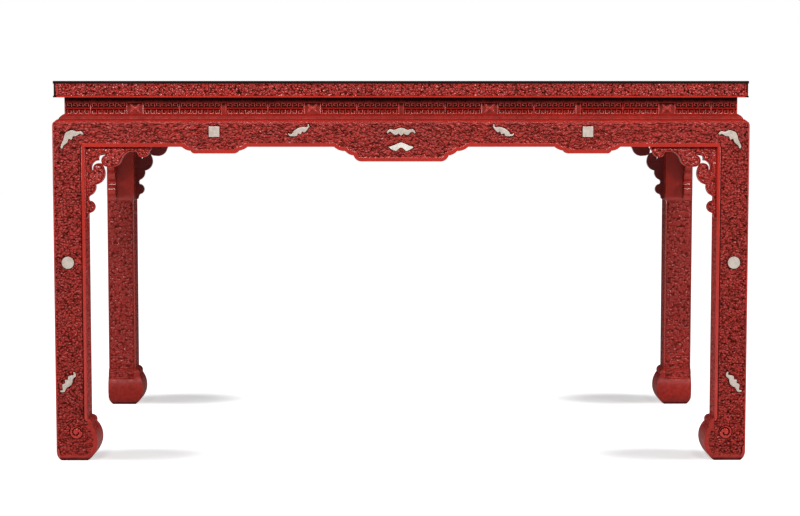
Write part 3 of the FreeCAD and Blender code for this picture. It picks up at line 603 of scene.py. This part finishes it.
def face_sheet(piece, side, node, reach):
    """Start a sheet over a piece's face, with how far inside the face's outline its points lie."""
    along, inwards, up = to_side(side, corners_of(piece))
    relief = Relief(along.min(), up.min(), np.ptp(along), np.ptp(up))
    mask = np.pad(cover(relief, side, node, 0.9), 1)
    return relief, distance_inside(mask, reach)[1:-1, 1:-1], inwards


def thin_flats(piece, most, spared=None):
    """Merge faces down to a number of triangles, the flattest ones first, and the spared points last."""
    triangles = sum(face.loop_total - 2 for face in piece.data.polygons)
    if triangles <= most:
        return
    thin = piece.modifiers.new("thin", "DECIMATE")
    thin.ratio = most / triangles
    if spared is not None:
        group = piece.vertex_groups.new(name="thinned")
        for marked, weight in ((~spared, 1.0), (spared, 0.15)):
            group.add(np.nonzero(marked)[0].tolist(), weight, "REPLACE")
        thin.vertex_group = group.name
    apply_modifiers(piece)
    piece.vertex_groups.clear()


def paint_faces(piece, marked):
    """Give the second finish to the faces whose corners are all marked."""
    mesh = piece.data
    corner = read_all(mesh.loops, "vertex_index", 1, np.int32)[:, 0]
    start = read_all(mesh.polygons, "loop_start", 1, np.int32)[:, 0]
    mesh.polygons.foreach_set("material_index", np.minimum.reduceat(marked[corner].astype(np.int32), start))


def finish_piece(piece, nodes, slot, *materials, painted=None, most=None, spared=None, sharp=38):
    """Give a piece its finishes, thin and shade it, and seat it in the frame in place of its nodes."""
    for material in materials:
        piece.data.materials.append(material)
    if painted is not None:
        paint_faces(piece, painted)
    if most is not None:
        thin_flats(piece, most, spared)
    mesh = piece.data
    mesh.polygons.foreach_set("use_smooth", [True] * len(mesh.polygons))
    mesh.set_sharp_from_angle(angle=math.radians(sharp))
    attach(piece, "root")
    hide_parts(*nodes)


def outer_cut(side, points):
    """Give how a side's carving moves points, and how deep each of them is cut, with painted shade on the slope.
    """
    along, inwards, up = to_side(side, points)
    under = inwards - shoulder(up)
    slack = 1.2 * MM
    on_face = under > -slack
    strength = np.clip(1 - under / FADE, 0, 1) * on_face * (up < APRON_TOP + 0.5 * MM)
    depth = side_relief(side).read(along, up) * strength
    # On the shoulder the cut goes square to the rounded face.
    steep = np.clip((shoulder(up + MM) - shoulder(up - MM)) / (2 * MM), 0, 2)
    direction = (inward(side) - np.outer(steep, (0, 0, 1))) / np.sqrt(1 + steep ** 2)[:, None]
    # The slope above the shoulder's step is dulled, and darkened with painted shade.
    dull_and_shade = 1.3 * MM * ((up > SHOULDER_STEP) & (under < 3 * MM) & on_face)
    return direction * depth[:, None], np.maximum(depth, dull_and_shade)


# ---------------------------------------------------------------- materials


def add_node(tree, kind, **values):
    """Add a shader node, and link or fill its inputs; another node stands for its first output.

    A value's name is one of the node's settings where it starts with a small letter, an
    input's name where it starts with a capital, and an input's number after _. In a map
    range, 1 and 2 are the range it reads, 3 and 4 the one it gives.
    """
    node = tree.nodes.new("ShaderNode" + kind)
    for name, value in values.items():
        if name[0].islower():
            setattr(node, name, value)
            continue
        socket = node.inputs[int(name[1:])] if name[0] == "_" else node.inputs[name.replace("_", " ")]
        if isinstance(value, bpy.types.Node):
            value = value.outputs[0]
        if isinstance(value, bpy.types.NodeSocket):
            tree.links.new(value, socket)
        else:
            socket.default_value = value
    return node


def new_material(name):
    """Start a material: it, its shader tree, and the place on the object for its patterns."""
    material = bpy.data.materials.new(name)
    material.use_nodes = True
    tree = material.node_tree
    tree.nodes.clear()
    return material, tree, add_node(tree, "TexCoord").outputs["Object"]


def with_surface(material, **inputs):
    """Give a material its surface, and return it."""
    tree = material.node_tree
    add_node(tree, "OutputMaterial", Surface=add_node(tree, "BsdfPrincipled", **inputs))
    return material


def shade_ramp(tree, factor, stops):
    """Colour a value along stops of position and colour."""
    ramp = add_node(tree, "ValToRGB", Fac=factor)
    while len(ramp.color_ramp.elements) < len(stops):
        ramp.color_ramp.elements.new(0.5)
    for element, (position, colour) in zip(ramp.color_ramp.elements, stops):
        element.position = position
        element.color = (*colour, 1)
    return ramp


@functools.lru_cache(maxsize=None)
def carved_red_lacquer():
    """Cinnabar lacquer, built up in layers, cut by hand and polished.

    The eye gets a warm red with rubbed, paler tops, darker lower layers and black-brown
    wax and dust in the cuts, darkened further with painted shade. It has the soft gloss of a resin, with an IOR
    of 1.52.
    """
    finishes = bpy.context.scene.table_finishes
    material, tree, place = new_material("carved_red_lacquer")
    # Dust and painted shade lie unevenly in the cuts, changing over about 9 mm; a cut of 2.6 mm is full of them.
    cut = add_node(tree, "Attribute", attribute_name="cut")
    dust_and_shade = add_node(tree, "TexNoise", Vector=place, Scale=1 / (9 * MM), Detail=2.0)
    shifted = add_node(tree, "Math", operation="MULTIPLY_ADD", _0=dust_and_shade, _1=0.9, _2=-0.45)
    depth = add_node(tree, "Math", operation="ADD", _0=cut.outputs["Fac"], _1=shifted)
    share = add_node(tree, "Math", operation="DIVIDE", use_clamp=True, _0=depth, _1=2.6)
    # Deeper cuts run from red to deep red and grime: lower layers and dust, and painted shade, which also
    # darkens the waist's corner, the shoulder's slope and the feet.
    layers = shade_ramp(tree, share, [
        (0.0, finishes.worn_red), (0.12, finishes.red), (0.4, finishes.red),
        (0.65, finishes.deep_red), (0.9, finishes.grime_and_shade)])
    # Clouded tone of the lacquer, in patches of about 60 mm.
    patches = add_node(tree, "TexNoise", Vector=place, Scale=1 / (60 * MM), Detail=2.0)
    tone = add_node(tree, "MapRange", Value=patches, _1=0.3, _2=0.7, _3=0.9, _4=1.08)
    colour = add_node(tree, "VectorMath", operation="SCALE", _0=layers, Scale=tone)
    # Fine tool marks about 1.5 mm apart.
    marks = add_node(tree, "TexNoise", Vector=place, Scale=1 / (1.5 * MM), Detail=3.0)
    bump = add_node(tree, "Bump", Strength=0.12, Distance=0.3 * MM, Height=marks)
    # Dust and wax leave no gloss in the cuts.
    rough = add_node(tree, "MapRange", Value=share, _1=0.0, _2=1.0, _3=0.22, _4=0.7)
    gloss = add_node(tree, "MapRange", Value=share, _1=0.2, _2=0.8, _3=0.7, _4=0.05)
    return with_surface(material, Base_Color=colour, Roughness=rough, IOR=1.52, Normal=bump,
                        Specular_IOR_Level=gloss)


@functools.lru_cache(maxsize=None)
def plain_lacquer(name, finish):
    """Dark lacquer, rubbed flat and polished: a deep gloss with faint brush waves. Its IOR is 1.52.

    It is brown-black on the top and its edging, and red-brown on the spandrels' backs, where the tone is painted
    shade.
    """
    base = getattr(bpy.context.scene.table_finishes, finish)
    material, tree, place = new_material(name)
    # Warm patches where the lacquer has thinned, about 140 mm across.
    patches = add_node(tree, "TexNoise", Vector=place, Scale=1 / (140 * MM), Detail=4.0)
    thinned = tuple(min(1.0, channel * 1.8) for channel in base)
    colour = shade_ramp(tree, patches, [(0.35, tuple(base)), (0.75, thinned)])
    # Rubbing marks, about 3 mm wide and drawn out along the length.
    stretched = add_node(tree, "Mapping", Vector=place, Scale=(0.08, 1, 1))
    rubbed = add_node(tree, "TexNoise", Vector=stretched, Scale=1 / (3 * MM), Detail=3.0)
    rough = add_node(tree, "MapRange", Value=rubbed, _1=0.3, _2=0.7, _3=0.2, _4=0.34)
    bump = add_node(tree, "Bump", Strength=0.08, Distance=0.2 * MM, Height=rubbed)
    return with_surface(material, Base_Color=colour, Roughness=rough, IOR=1.52, Normal=bump,
                        Specular_IOR_Level=0.2)


@functools.lru_cache(maxsize=None)
def jade(name, finish):
    """Nephrite, ground and polished: cloudy and waxy, with a soft gloss. Its IOR is 1.61.

    It is a pale grey-green in the bats, squares and discs, and white in the chime stones.
    """
    base = getattr(bpy.context.scene.table_finishes, finish)
    material, tree, place = new_material(name)
    # Cloudy veins about 12 mm apart.
    clouds = add_node(tree, "TexNoise", Vector=place, Scale=1 / (12 * MM), Detail=4.0, Distortion=0.8)
    paler = tuple(min(1.0, channel * 1.12) for channel in base)
    greyer = tuple(channel * shade for channel, shade in zip(base, (0.80, 0.80, 0.78)))
    colour = shade_ramp(tree, clouds, [(0.3, greyer), (0.5, tuple(base)), (0.72, paler)])
    return with_surface(material, Base_Color=colour, Roughness=0.28, IOR=1.61)


@functools.lru_cache(maxsize=None)
def planed_softwood():
    """Planed wood with a thin brown wash: straight grain about 4 mm apart, dry and matt."""
    wood = tuple(bpy.context.scene.table_finishes.wood)
    material, tree, place = new_material("planed_softwood")
    stretched = add_node(tree, "Mapping", Vector=place, Scale=(1, 0.05, 1))
    grain = add_node(tree, "TexNoise", Vector=stretched, Scale=1 / (4 * MM), Detail=4.0)
    darker = tuple(channel * 0.55 for channel in wood)
    colour = shade_ramp(tree, grain, [(0.35, darker), (0.65, wood)])
    return with_surface(material, Base_Color=colour, Roughness=0.6, IOR=1.5)


# ---------------------------------------------------------------- operators


class CarveAprons(bpy.types.Operator):
    """Carve the four aprons with clouds between plain beads"""

    bl_idname = "lacquer_table.carve_aprons"
    bl_label = "Carve the aprons"

    def execute(self, context):
        for side in SIDES:
            node = f"apron_{side}"
            piece = recut(node)
            points = corners_of(piece)
            move, cuts = outer_cut(side, points)
            set_depths(piece, points + move, cuts)
            finish_piece(piece, [node], "carved_red_lacquer", carved_red_lacquer(), most=APRON_TRIANGLES[side])
        return {"FINISHED"}


class CarveLegs(bpy.types.Operator):
    """Carve the four legs with clouds and curls outside, and with larger curls inside"""

    bl_idname = "lacquer_table.carve_legs"
    bl_label = "Carve the legs"

    def execute(self, context):
        relief = inner_relief()
        for node, sides in LEG_SIDES.items():
            piece = recut(node)
            points = corners_of(piece)
            height = points[:, 2]
            normals = read_all(piece.data.vertices, "normal")
            moved = points.copy()
            cuts = np.zeros(len(points))
            for side in sides:
                move, dulled_and_shaded = outer_cut(side, points)
                moved += move
                cuts = np.maximum(cuts, dulled_and_shaded)
            # Distances from the two outer faces, and the signs that point inwards.
            inwards = -np.sign(points[:, :2].mean(0))
            gone = np.array(half_sizes()) - np.abs(points[:, :2])
            for axis in (0, 1):
                inside = gone[:, axis] > LEG_WIDTH - 2 * MM
                facing = normals[:, axis] * inwards[axis] > 0.6
                carved = inside & facing & (height < APRON_BOTTOM - 3 * MM)
                depth = relief.read(gone[:, 1 - axis], height) * carved
                moved -= normals * depth[:, None]
                # The inner faces of the feet are dulled, and darkened with painted shade.
                dull_and_shade = 1.2 * MM * (inside & (height < FOOT_HEIGHT + 12 * MM))
                cuts = np.maximum(np.maximum(cuts, depth), dull_and_shade)
            # The feet are darker at the floor, fully up to 5 mm and less and less up to 13 mm: dirt and wear,
            # and a painted contact shadow at the floor.
            dirt_and_contact_shadow, fades_over = 1.9 * MM, 8 * MM
            cuts = np.maximum(cuts, dirt_and_contact_shadow * np.clip(1.6 - height / fades_over, 0, 1))
            set_depths(piece, moved, cuts)
            # The front shows the outer faces of the front legs and the inner faces of the back ones.
            if "front" in node:
                spared = to_side(sides[0], points)[1] < WAIST_SETBACK + 4 * MM
            else:
                spared = gone[:, 1] > LEG_WIDTH - 4 * MM
            finish_piece(piece, [node], "carved_red_lacquer", carved_red_lacquer(),
                         most=LEG_TRIANGLES[sides[0]], spared=spared)
        return {"FINISHED"}


class CarveSpandrels(bpy.types.Operator):
    """Carve the eight pierced spandrels with small curls inside a smooth border"""

    bl_idname = "lacquer_table.carve_spandrels"
    bl_label = "Carve the spandrels"

    def execute(self, context):
        carving = context.scene.table_carving
        border, rounding, groove = 2.0 * MM, 0.5 * MM, 1.2 * MM
        for seed, (side, names) in enumerate(SPANDRELS.items()):
            for name in names:
                piece = recut(name)
                relief, edge, inwards = face_sheet(piece, side, name, border + 3 * MM)
                curls = carve_curls(relief, carving.curl_width, carving.curl_depth, carving.seed + 50 + seed)
                # The border's rim is rounded, and a groove parts the border from the curls.
                in_groove = (edge > border) & (edge < border + groove)
                depth = lay_cuts(rounding * (1 - edge / border) ** 2, (edge > border, curls),
                                 (in_groove, carving.curl_depth))
                relief.depth = depth.astype(np.float32)
                sink_relief(piece, side, relief, inwards.min())
                # The back of a spandrel is plain, and its maroon is painted shade: the backs lie in the shade
                # under the table.
                back = inwards > inwards.max() - 0.2 * MM
                finish_piece(piece, [name], "carved_red_lacquer", carved_red_lacquer(),
                             plain_lacquer("polished_maroon_lacquer", "maroon"), painted=back,
                             most=SPANDREL_TRIANGLES[side])
        return {"FINISHED"}


class CarveTopRails(bpy.types.Operator):
    """Carve the edge of the top between its dark edgings"""

    bl_idname = "lacquer_table.carve_top_rails"
    bl_label = "Carve the top's edge"

    def execute(self, context):
        carving = context.scene.table_carving
        low, high = CARVED_BAND
        for seed, side in enumerate(SIDES):
            node = f"top_rail_{side}"
            piece = recut(node)
            along, inwards, up = to_side(side, corners_of(piece))
            span, _ = side_span(side)
            relief = Relief(-span / 2, low, span, high - low)
            relief.depth = carve_curls(relief, carving.curl_width, carving.curl_depth * 1.12,
                                       carving.seed + 80 + seed)
            # The ends stay plain, and are dark like the edgings over and under the band.
            set_in, plain_end, band_face = 3 * MM, 7 * MM, 4.6 * MM
            plain_from = span / 2 - set_in - plain_end
            shown = (up > low) & (up < high) & (np.abs(along) < plain_from - 1.5 * MM)
            ends = (np.abs(along) > plain_from) & (inwards < 30 * MM)
            sink_relief(piece, side, relief, band_face, shown=shown)
            finish_piece(piece, [node], "carved_red_lacquer", carved_red_lacquer(),
                         plain_lacquer("polished_dark_lacquer", "dark"),
                         painted=(up > EDGINGS[1]) | ends | (up < EDGINGS[0]), most=RAIL_TRIANGLES[side])
        return {"FINISHED"}


@functools.lru_cache(maxsize=None)
def waist_relief(length):
    """Draw a waist board's key fret, with a small bat at every second joint of its groups of hooks."""
    carving = bpy.context.scene.table_carving
    relief = Relief(-length / 2, APRON_TOP, length, WAIST_HEIGHT)
    x, z = relief.across()
    line = carving.fret_line
    foot = 0.6 * MM
    # Rows of lines from the waist's foot up: lower hooks 0 to 3, the middle line 5, and upper hooks 7 to 10.
    row = np.floor((z - APRON_TOP - foot) / line) + 0 * x
    to_joint = np.abs((x + FRET_PERIOD / 2) % FRET_PERIOD - FRET_PERIOD / 2) + 0 * z
    column = np.floor((FRET_PERIOD / 2 - to_joint) / line + 0.5)
    hooks = np.array([[mark == "x" for mark in part] for part in FRET_HOOK])
    last, width = len(hooks) - 1, hooks.shape[1]
    # A seventh hook fills a group up to the joint where no bat stands.
    count = width * np.where(np.round(x / FRET_PERIOD) % 2 == 0, 7, 6)
    raised = (row == 5) & (column >= 1) & (column <= count + 2)
    raised |= (column == 0) | (column == count + 2)
    across = np.clip(column - 2, 0, count - 1).astype(int) % width
    in_hooks = (column >= 2) & (column < count + 2)
    raised |= in_hooks & (row >= 7) & hooks[np.clip(10 - row, 0, last).astype(int), across]
    raised |= in_hooks & (row <= 3) & hooks[np.clip(row, 0, last).astype(int), width - 2 - across]
    band = (row >= 0) & (row <= 10)
    curls = carve_curls(relief, carving.curl_width, 0.8, carving.seed)
    by_bat = column > count + 2
    ground = lay_cuts(1.0, (raised | ~band, 0), (by_bat, band * (0.5 + 0.6 * curls))).astype(np.float32)
    # A bat, as discs across, up and radius in millimetres, which its other half mirrors.
    body = [(4.5, 0, 4.2), (7.5, 6.0, 3.0), (7.5, -6.0, 3.0), (0, 0, 2.4), (10.5, 9.0, 1.8), (10.5, -9.0, 1.8)]
    bat = np.array([(sign * right, up, radius) for right, up, radius in body for sign in (-1, 1)]) * MM
    shape = bat, [tuple(bat[0]), tuple(bat[1])]
    for number in (-3, -1, 1, 3):
        spot = number * FRET_PERIOD + length / 2, foot + 5.5 * line
        cut_cloud(ground, spot, 0, 1, shape, 1.0, 1.2 * MM, 1.1 * MM)
    ground = lay_cuts(ground, (by_bat, np.minimum(ground, 0.6))).astype(np.float32)
    relief.depth = soften(ground * carving.fret_depth, 1)
    return relief


class CarveWaist(bpy.types.Operator):
    """Carve the key fret into the four waist boards"""

    bl_idname = "lacquer_table.carve_waist"
    bl_label = "Carve the waist's key fret"

    def execute(self, context):
        for side in SIDES:
            node = f"waist_{side}"
            piece = recut(node)
            along, _, up = to_side(side, corners_of(piece))
            length = side_span(side)[0] - 2 * WAIST_SETBACK
            shown = (up > APRON_TOP + MM) & (up < APRON_TOP + WAIST_HEIGHT - MM)
            shown &= np.abs(along) < length / 2 - 2 * MM
            # Painted shade darkens the corner under the top and, a little, the whole fret; the fret's cuts are
            # coloured a tenth deeper than they are.
            shade_under_top, starts, grows_over, fret_darkening = 2.3 * MM, 17 * MM, 15 * MM, 0.2 * MM
            dust_and_shade = shade_under_top * np.clip((up - APRON_TOP - starts) / grows_over, 0, 1) + fret_darkening * shown
            sink_relief(piece, side, waist_relief(length), WAIST_SETBACK, shown=shown, deepened=1.1, dust_and_shade=dust_and_shade)
            finish_piece(piece, [node], "carved_red_lacquer", carved_red_lacquer(), most=WAIST_TRIANGLES[side])
        return {"FINISHED"}


class SetInlays(bpy.types.Operator):
    """Set the jade inlays, with rounded and polished edges"""

    bl_idname = "lacquer_table.set_inlays"
    bl_label = "Set the jade"

    def execute(self, context):
        cell = 0.9 * MM
        for node in sorted(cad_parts):
            if not node.startswith("inlay"):
                continue
            side = node.rsplit("_", 1)[1]
            piece = recut(node, cell)
            relief, edge, inwards = face_sheet(piece, side, node, 5 * MM)
            rounding, wing, line_in, line_width = 1.2 * MM, 4 * MM, 2.8 * MM, 0.6 * MM
            depth = 0.5 * MM * (1 - np.clip(edge / rounding, 0, 1)) ** 2
            if "bat" in node:
                # Domed wings and bodies, with a line engraved inside the edge.
                depth -= 0.9 * MM * (1 - (1 - np.clip(edge / wing, 0, 1)) ** 2)
                depth += 0.45 * MM * np.exp(-((edge - line_in) / line_width) ** 2)
            relief.depth = soften(depth.astype(np.float32), 1)
            sink_relief(piece, side, relief, inwards.min(), 2 * MM)
            piece.name = "jade_" + node
            piece.data.name = piece.name
            chime = node.startswith("inlay_chime")
            slot, finish = ("white_jade", "white_jade") if chime else ("celadon_jade", "celadon")
            finish_piece(piece, [node], slot, jade(slot, finish), sharp=40)
        return {"FINISHED"}


class FinishTop(bpy.types.Operator):
    """Lacquer the top panel dark, and leave the battens and pins as planed wood"""

    bl_idname = "lacquer_table.finish_top"
    bl_label = "Finish the top"

    def execute(self, context):
        finishes = {"top_panel": plain_lacquer("polished_dark_lacquer", "dark")}
        for name in ("spandrel_pins", "batten_left", "batten_centre", "batten_right"):
            finishes[name] = planed_softwood()
        for name, material in finishes.items():
            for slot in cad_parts[name].material_slots:
                slot.material = material
        return {"FINISHED"}


class LayStage(bpy.types.Operator):
    """Lay the studio floor, hang the lights and stand the camera"""

    bl_idname = "lacquer_table.lay_stage"
    bl_label = "Lay the stage"

    def execute(self, context):
        scene = context.scene
        stage = scene.table_stage
        scene.view_settings.view_transform = "Standard"
        self.lay_floor(context)
        self.light_world(scene)
        _, half_depth = half_sizes()
        # The lamps are turned to the middle of the table; each has a place, a size and watts.
        target = Vector((0, 0, 0.45))
        lamps = {
            "front_left_softbox": ((-1.1, -3.5, 2.8), (1.1, 0.4), 58),
            "front_right_softbox": ((1.3, -3.5, 2.8), (0.9, 0.4), 42),
            "left_softbox": ((-3.0, -1.3, 1.1), (0.7, 1.0), 22),
            "right_softbox": ((3.0, -1.3, 1.1), (0.7, 1.0), 26),
            "top_softbox": ((0.0, -0.6, 3.4), (2.6, 0.8), 6),
        }
        for name, (place, (wide, high), watts) in lamps.items():
            data = bpy.data.lights.new(name, "AREA")
            data.shape = "RECTANGLE"
            data.size = wide
            data.size_y = high
            data.energy = watts
            self.put(name, data, place, (target - Vector(place)).to_track_quat("-Z", "Y").to_euler())
        data = bpy.data.cameras.new("camera")
        data.lens = stage.lens
        data.sensor_width = 36
        place = (stage.camera_across, -half_depth - stage.camera_distance, stage.camera_height)
        scene.camera = self.put("camera", data, place, Euler((math.radians(90) - stage.tilt, 0, -stage.pan)))
        return {"FINISHED"}

    def put(self, name, data, place=(0, 0, 0), turn=(0, 0, 0)):
        """Put an object into the studio."""
        obj = bpy.data.objects.new(name, data)
        obj.location = place
        obj.rotation_euler = turn
        bpy.context.collection.objects.link(obj)
        return obj

    def lay_floor(self, context):
        """Lay a wide pale floor that glows white for the camera, dimmed near the feet, and keeps the table's
        shadow.
        """
        reach = 12.0
        mesh = bpy.data.meshes.new("studio_floor")
        mesh.from_pydata([(-reach, -reach, 0), (reach, -reach, 0), (reach, reach, 0), (-reach, reach, 0)], [],
                         [(0, 1, 2, 3)])
        floor = self.put("studio_floor", mesh)
        material, tree, place = new_material("matt_floor")
        matt = add_node(tree, "BsdfDiffuse", Color=(*context.scene.table_finishes.floor, 1))
        # The camera sees the floor glow white, but for painted shadow zones inwards of and behind the feet,
        # where the glow is dimmed and the lamps' shadows show.
        backwards, middle, size = (0.0, 0.05, 0.0), (0.6, 0.43, 0.0), (0.24, 0.14)
        moved = add_node(tree, "VectorMath", operation="SUBTRACT", _0=place, _1=backwards)
        folded = add_node(tree, "VectorMath", operation="ABSOLUTE", _0=moved)
        away = add_node(tree, "VectorMath", operation="SUBTRACT", _0=folded, _1=middle)
        flat = add_node(tree, "VectorMath", operation="MULTIPLY", _0=away, _1=(1 / size[0], 1 / size[1], 0.0))
        distance = add_node(tree, "VectorMath", operation="LENGTH", _0=flat)
        lift = add_node(tree, "MapRange", interpolation_type="SMOOTHSTEP", Value=distance.outputs["Value"],
                        _1=0.3, _2=1.1, _3=0.4, _4=1.0)
        path = add_node(tree, "LightPath")
        seen = add_node(tree, "Math", operation="MULTIPLY", _0=path.outputs["Is Camera Ray"], _1=lift)
        glow = add_node(tree, "Emission", Strength=seen)
        add_node(tree, "OutputMaterial", Surface=add_node(tree, "AddShader", _0=matt, _1=glow))
        mesh.materials.append(material)

    def light_world(self, scene):
        """Light the studio evenly, and show white behind the table."""
        world = bpy.data.worlds.new("studio")
        scene.world = world
        world.use_nodes = True
        tree = world.node_tree
        tree.nodes.clear()
        path = add_node(tree, "LightPath")
        seen = add_node(tree, "Math", operation="MAXIMUM", _0=path.outputs["Is Camera Ray"],
                        _1=path.outputs["Is Transmission Ray"])
        # Dark flags round the studio keep a veil of white out of the polish.
        flagged = add_node(tree, "MapRange", Value=path.outputs["Is Glossy Ray"],
                           _1=0.0, _2=1.0, _3=0.2, _4=0.06)
        strength = add_node(tree, "Math", operation="MAXIMUM", _0=seen, _1=flagged)
        light = add_node(tree, "Background", Strength=strength, Color=(1, 1, 1, 1))
        add_node(tree, "OutputWorld", Surface=light)


class TABLE_PT_making(bpy.types.Panel):
    """Sizes, colours and steps of the table"""

    bl_idname = "TABLE_PT_making"
    bl_label = "Carved lacquer table"
    bl_space_type = "VIEW_3D"
    bl_region_type = "UI"
    bl_category = "Table"

    def draw(self, context):
        for group in (context.scene.table_carving, context.scene.table_finishes, context.scene.table_stage):
            box = self.layout.box()
            for name in group.bl_rna.properties.keys():
                if name not in ("rna_type", "name"):
                    box.prop(group, name)
        for step in STEPS:
            self.layout.operator(step.bl_idname)


STEPS = (CarveAprons, CarveLegs, CarveSpandrels, CarveTopRails, CarveWaist, SetInlays, FinishTop, LayStage)
GROUPS = {"table_carving": TableCarving, "table_finishes": TableFinishes, "table_stage": TableStage}


def register():
    """Register the groups, steps and panel."""
    for item in (*GROUPS.values(), *STEPS, TABLE_PT_making):
        bpy.utils.register_class(item)
    for name, group in GROUPS.items():
        setattr(bpy.types.Scene, name, bpy.props.PointerProperty(type=group))


def unregister():
    """Take the groups, steps and panel away again."""
    for name in GROUPS:
        delattr(bpy.types.Scene, name)
    for item in (TABLE_PT_making, *reversed(STEPS), *GROUPS.values()):
        bpy.utils.unregister_class(item)


def main():
    """Make the table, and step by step."""
    register()
    for step in STEPS:
        group, action = step.bl_idname.split(".")
        if getattr(getattr(bpy.ops, group), action)() != {"FINISHED"}:
            raise RuntimeError(f"{step.bl_label} didn't finish")


if __name__ == "__main__":
    main()
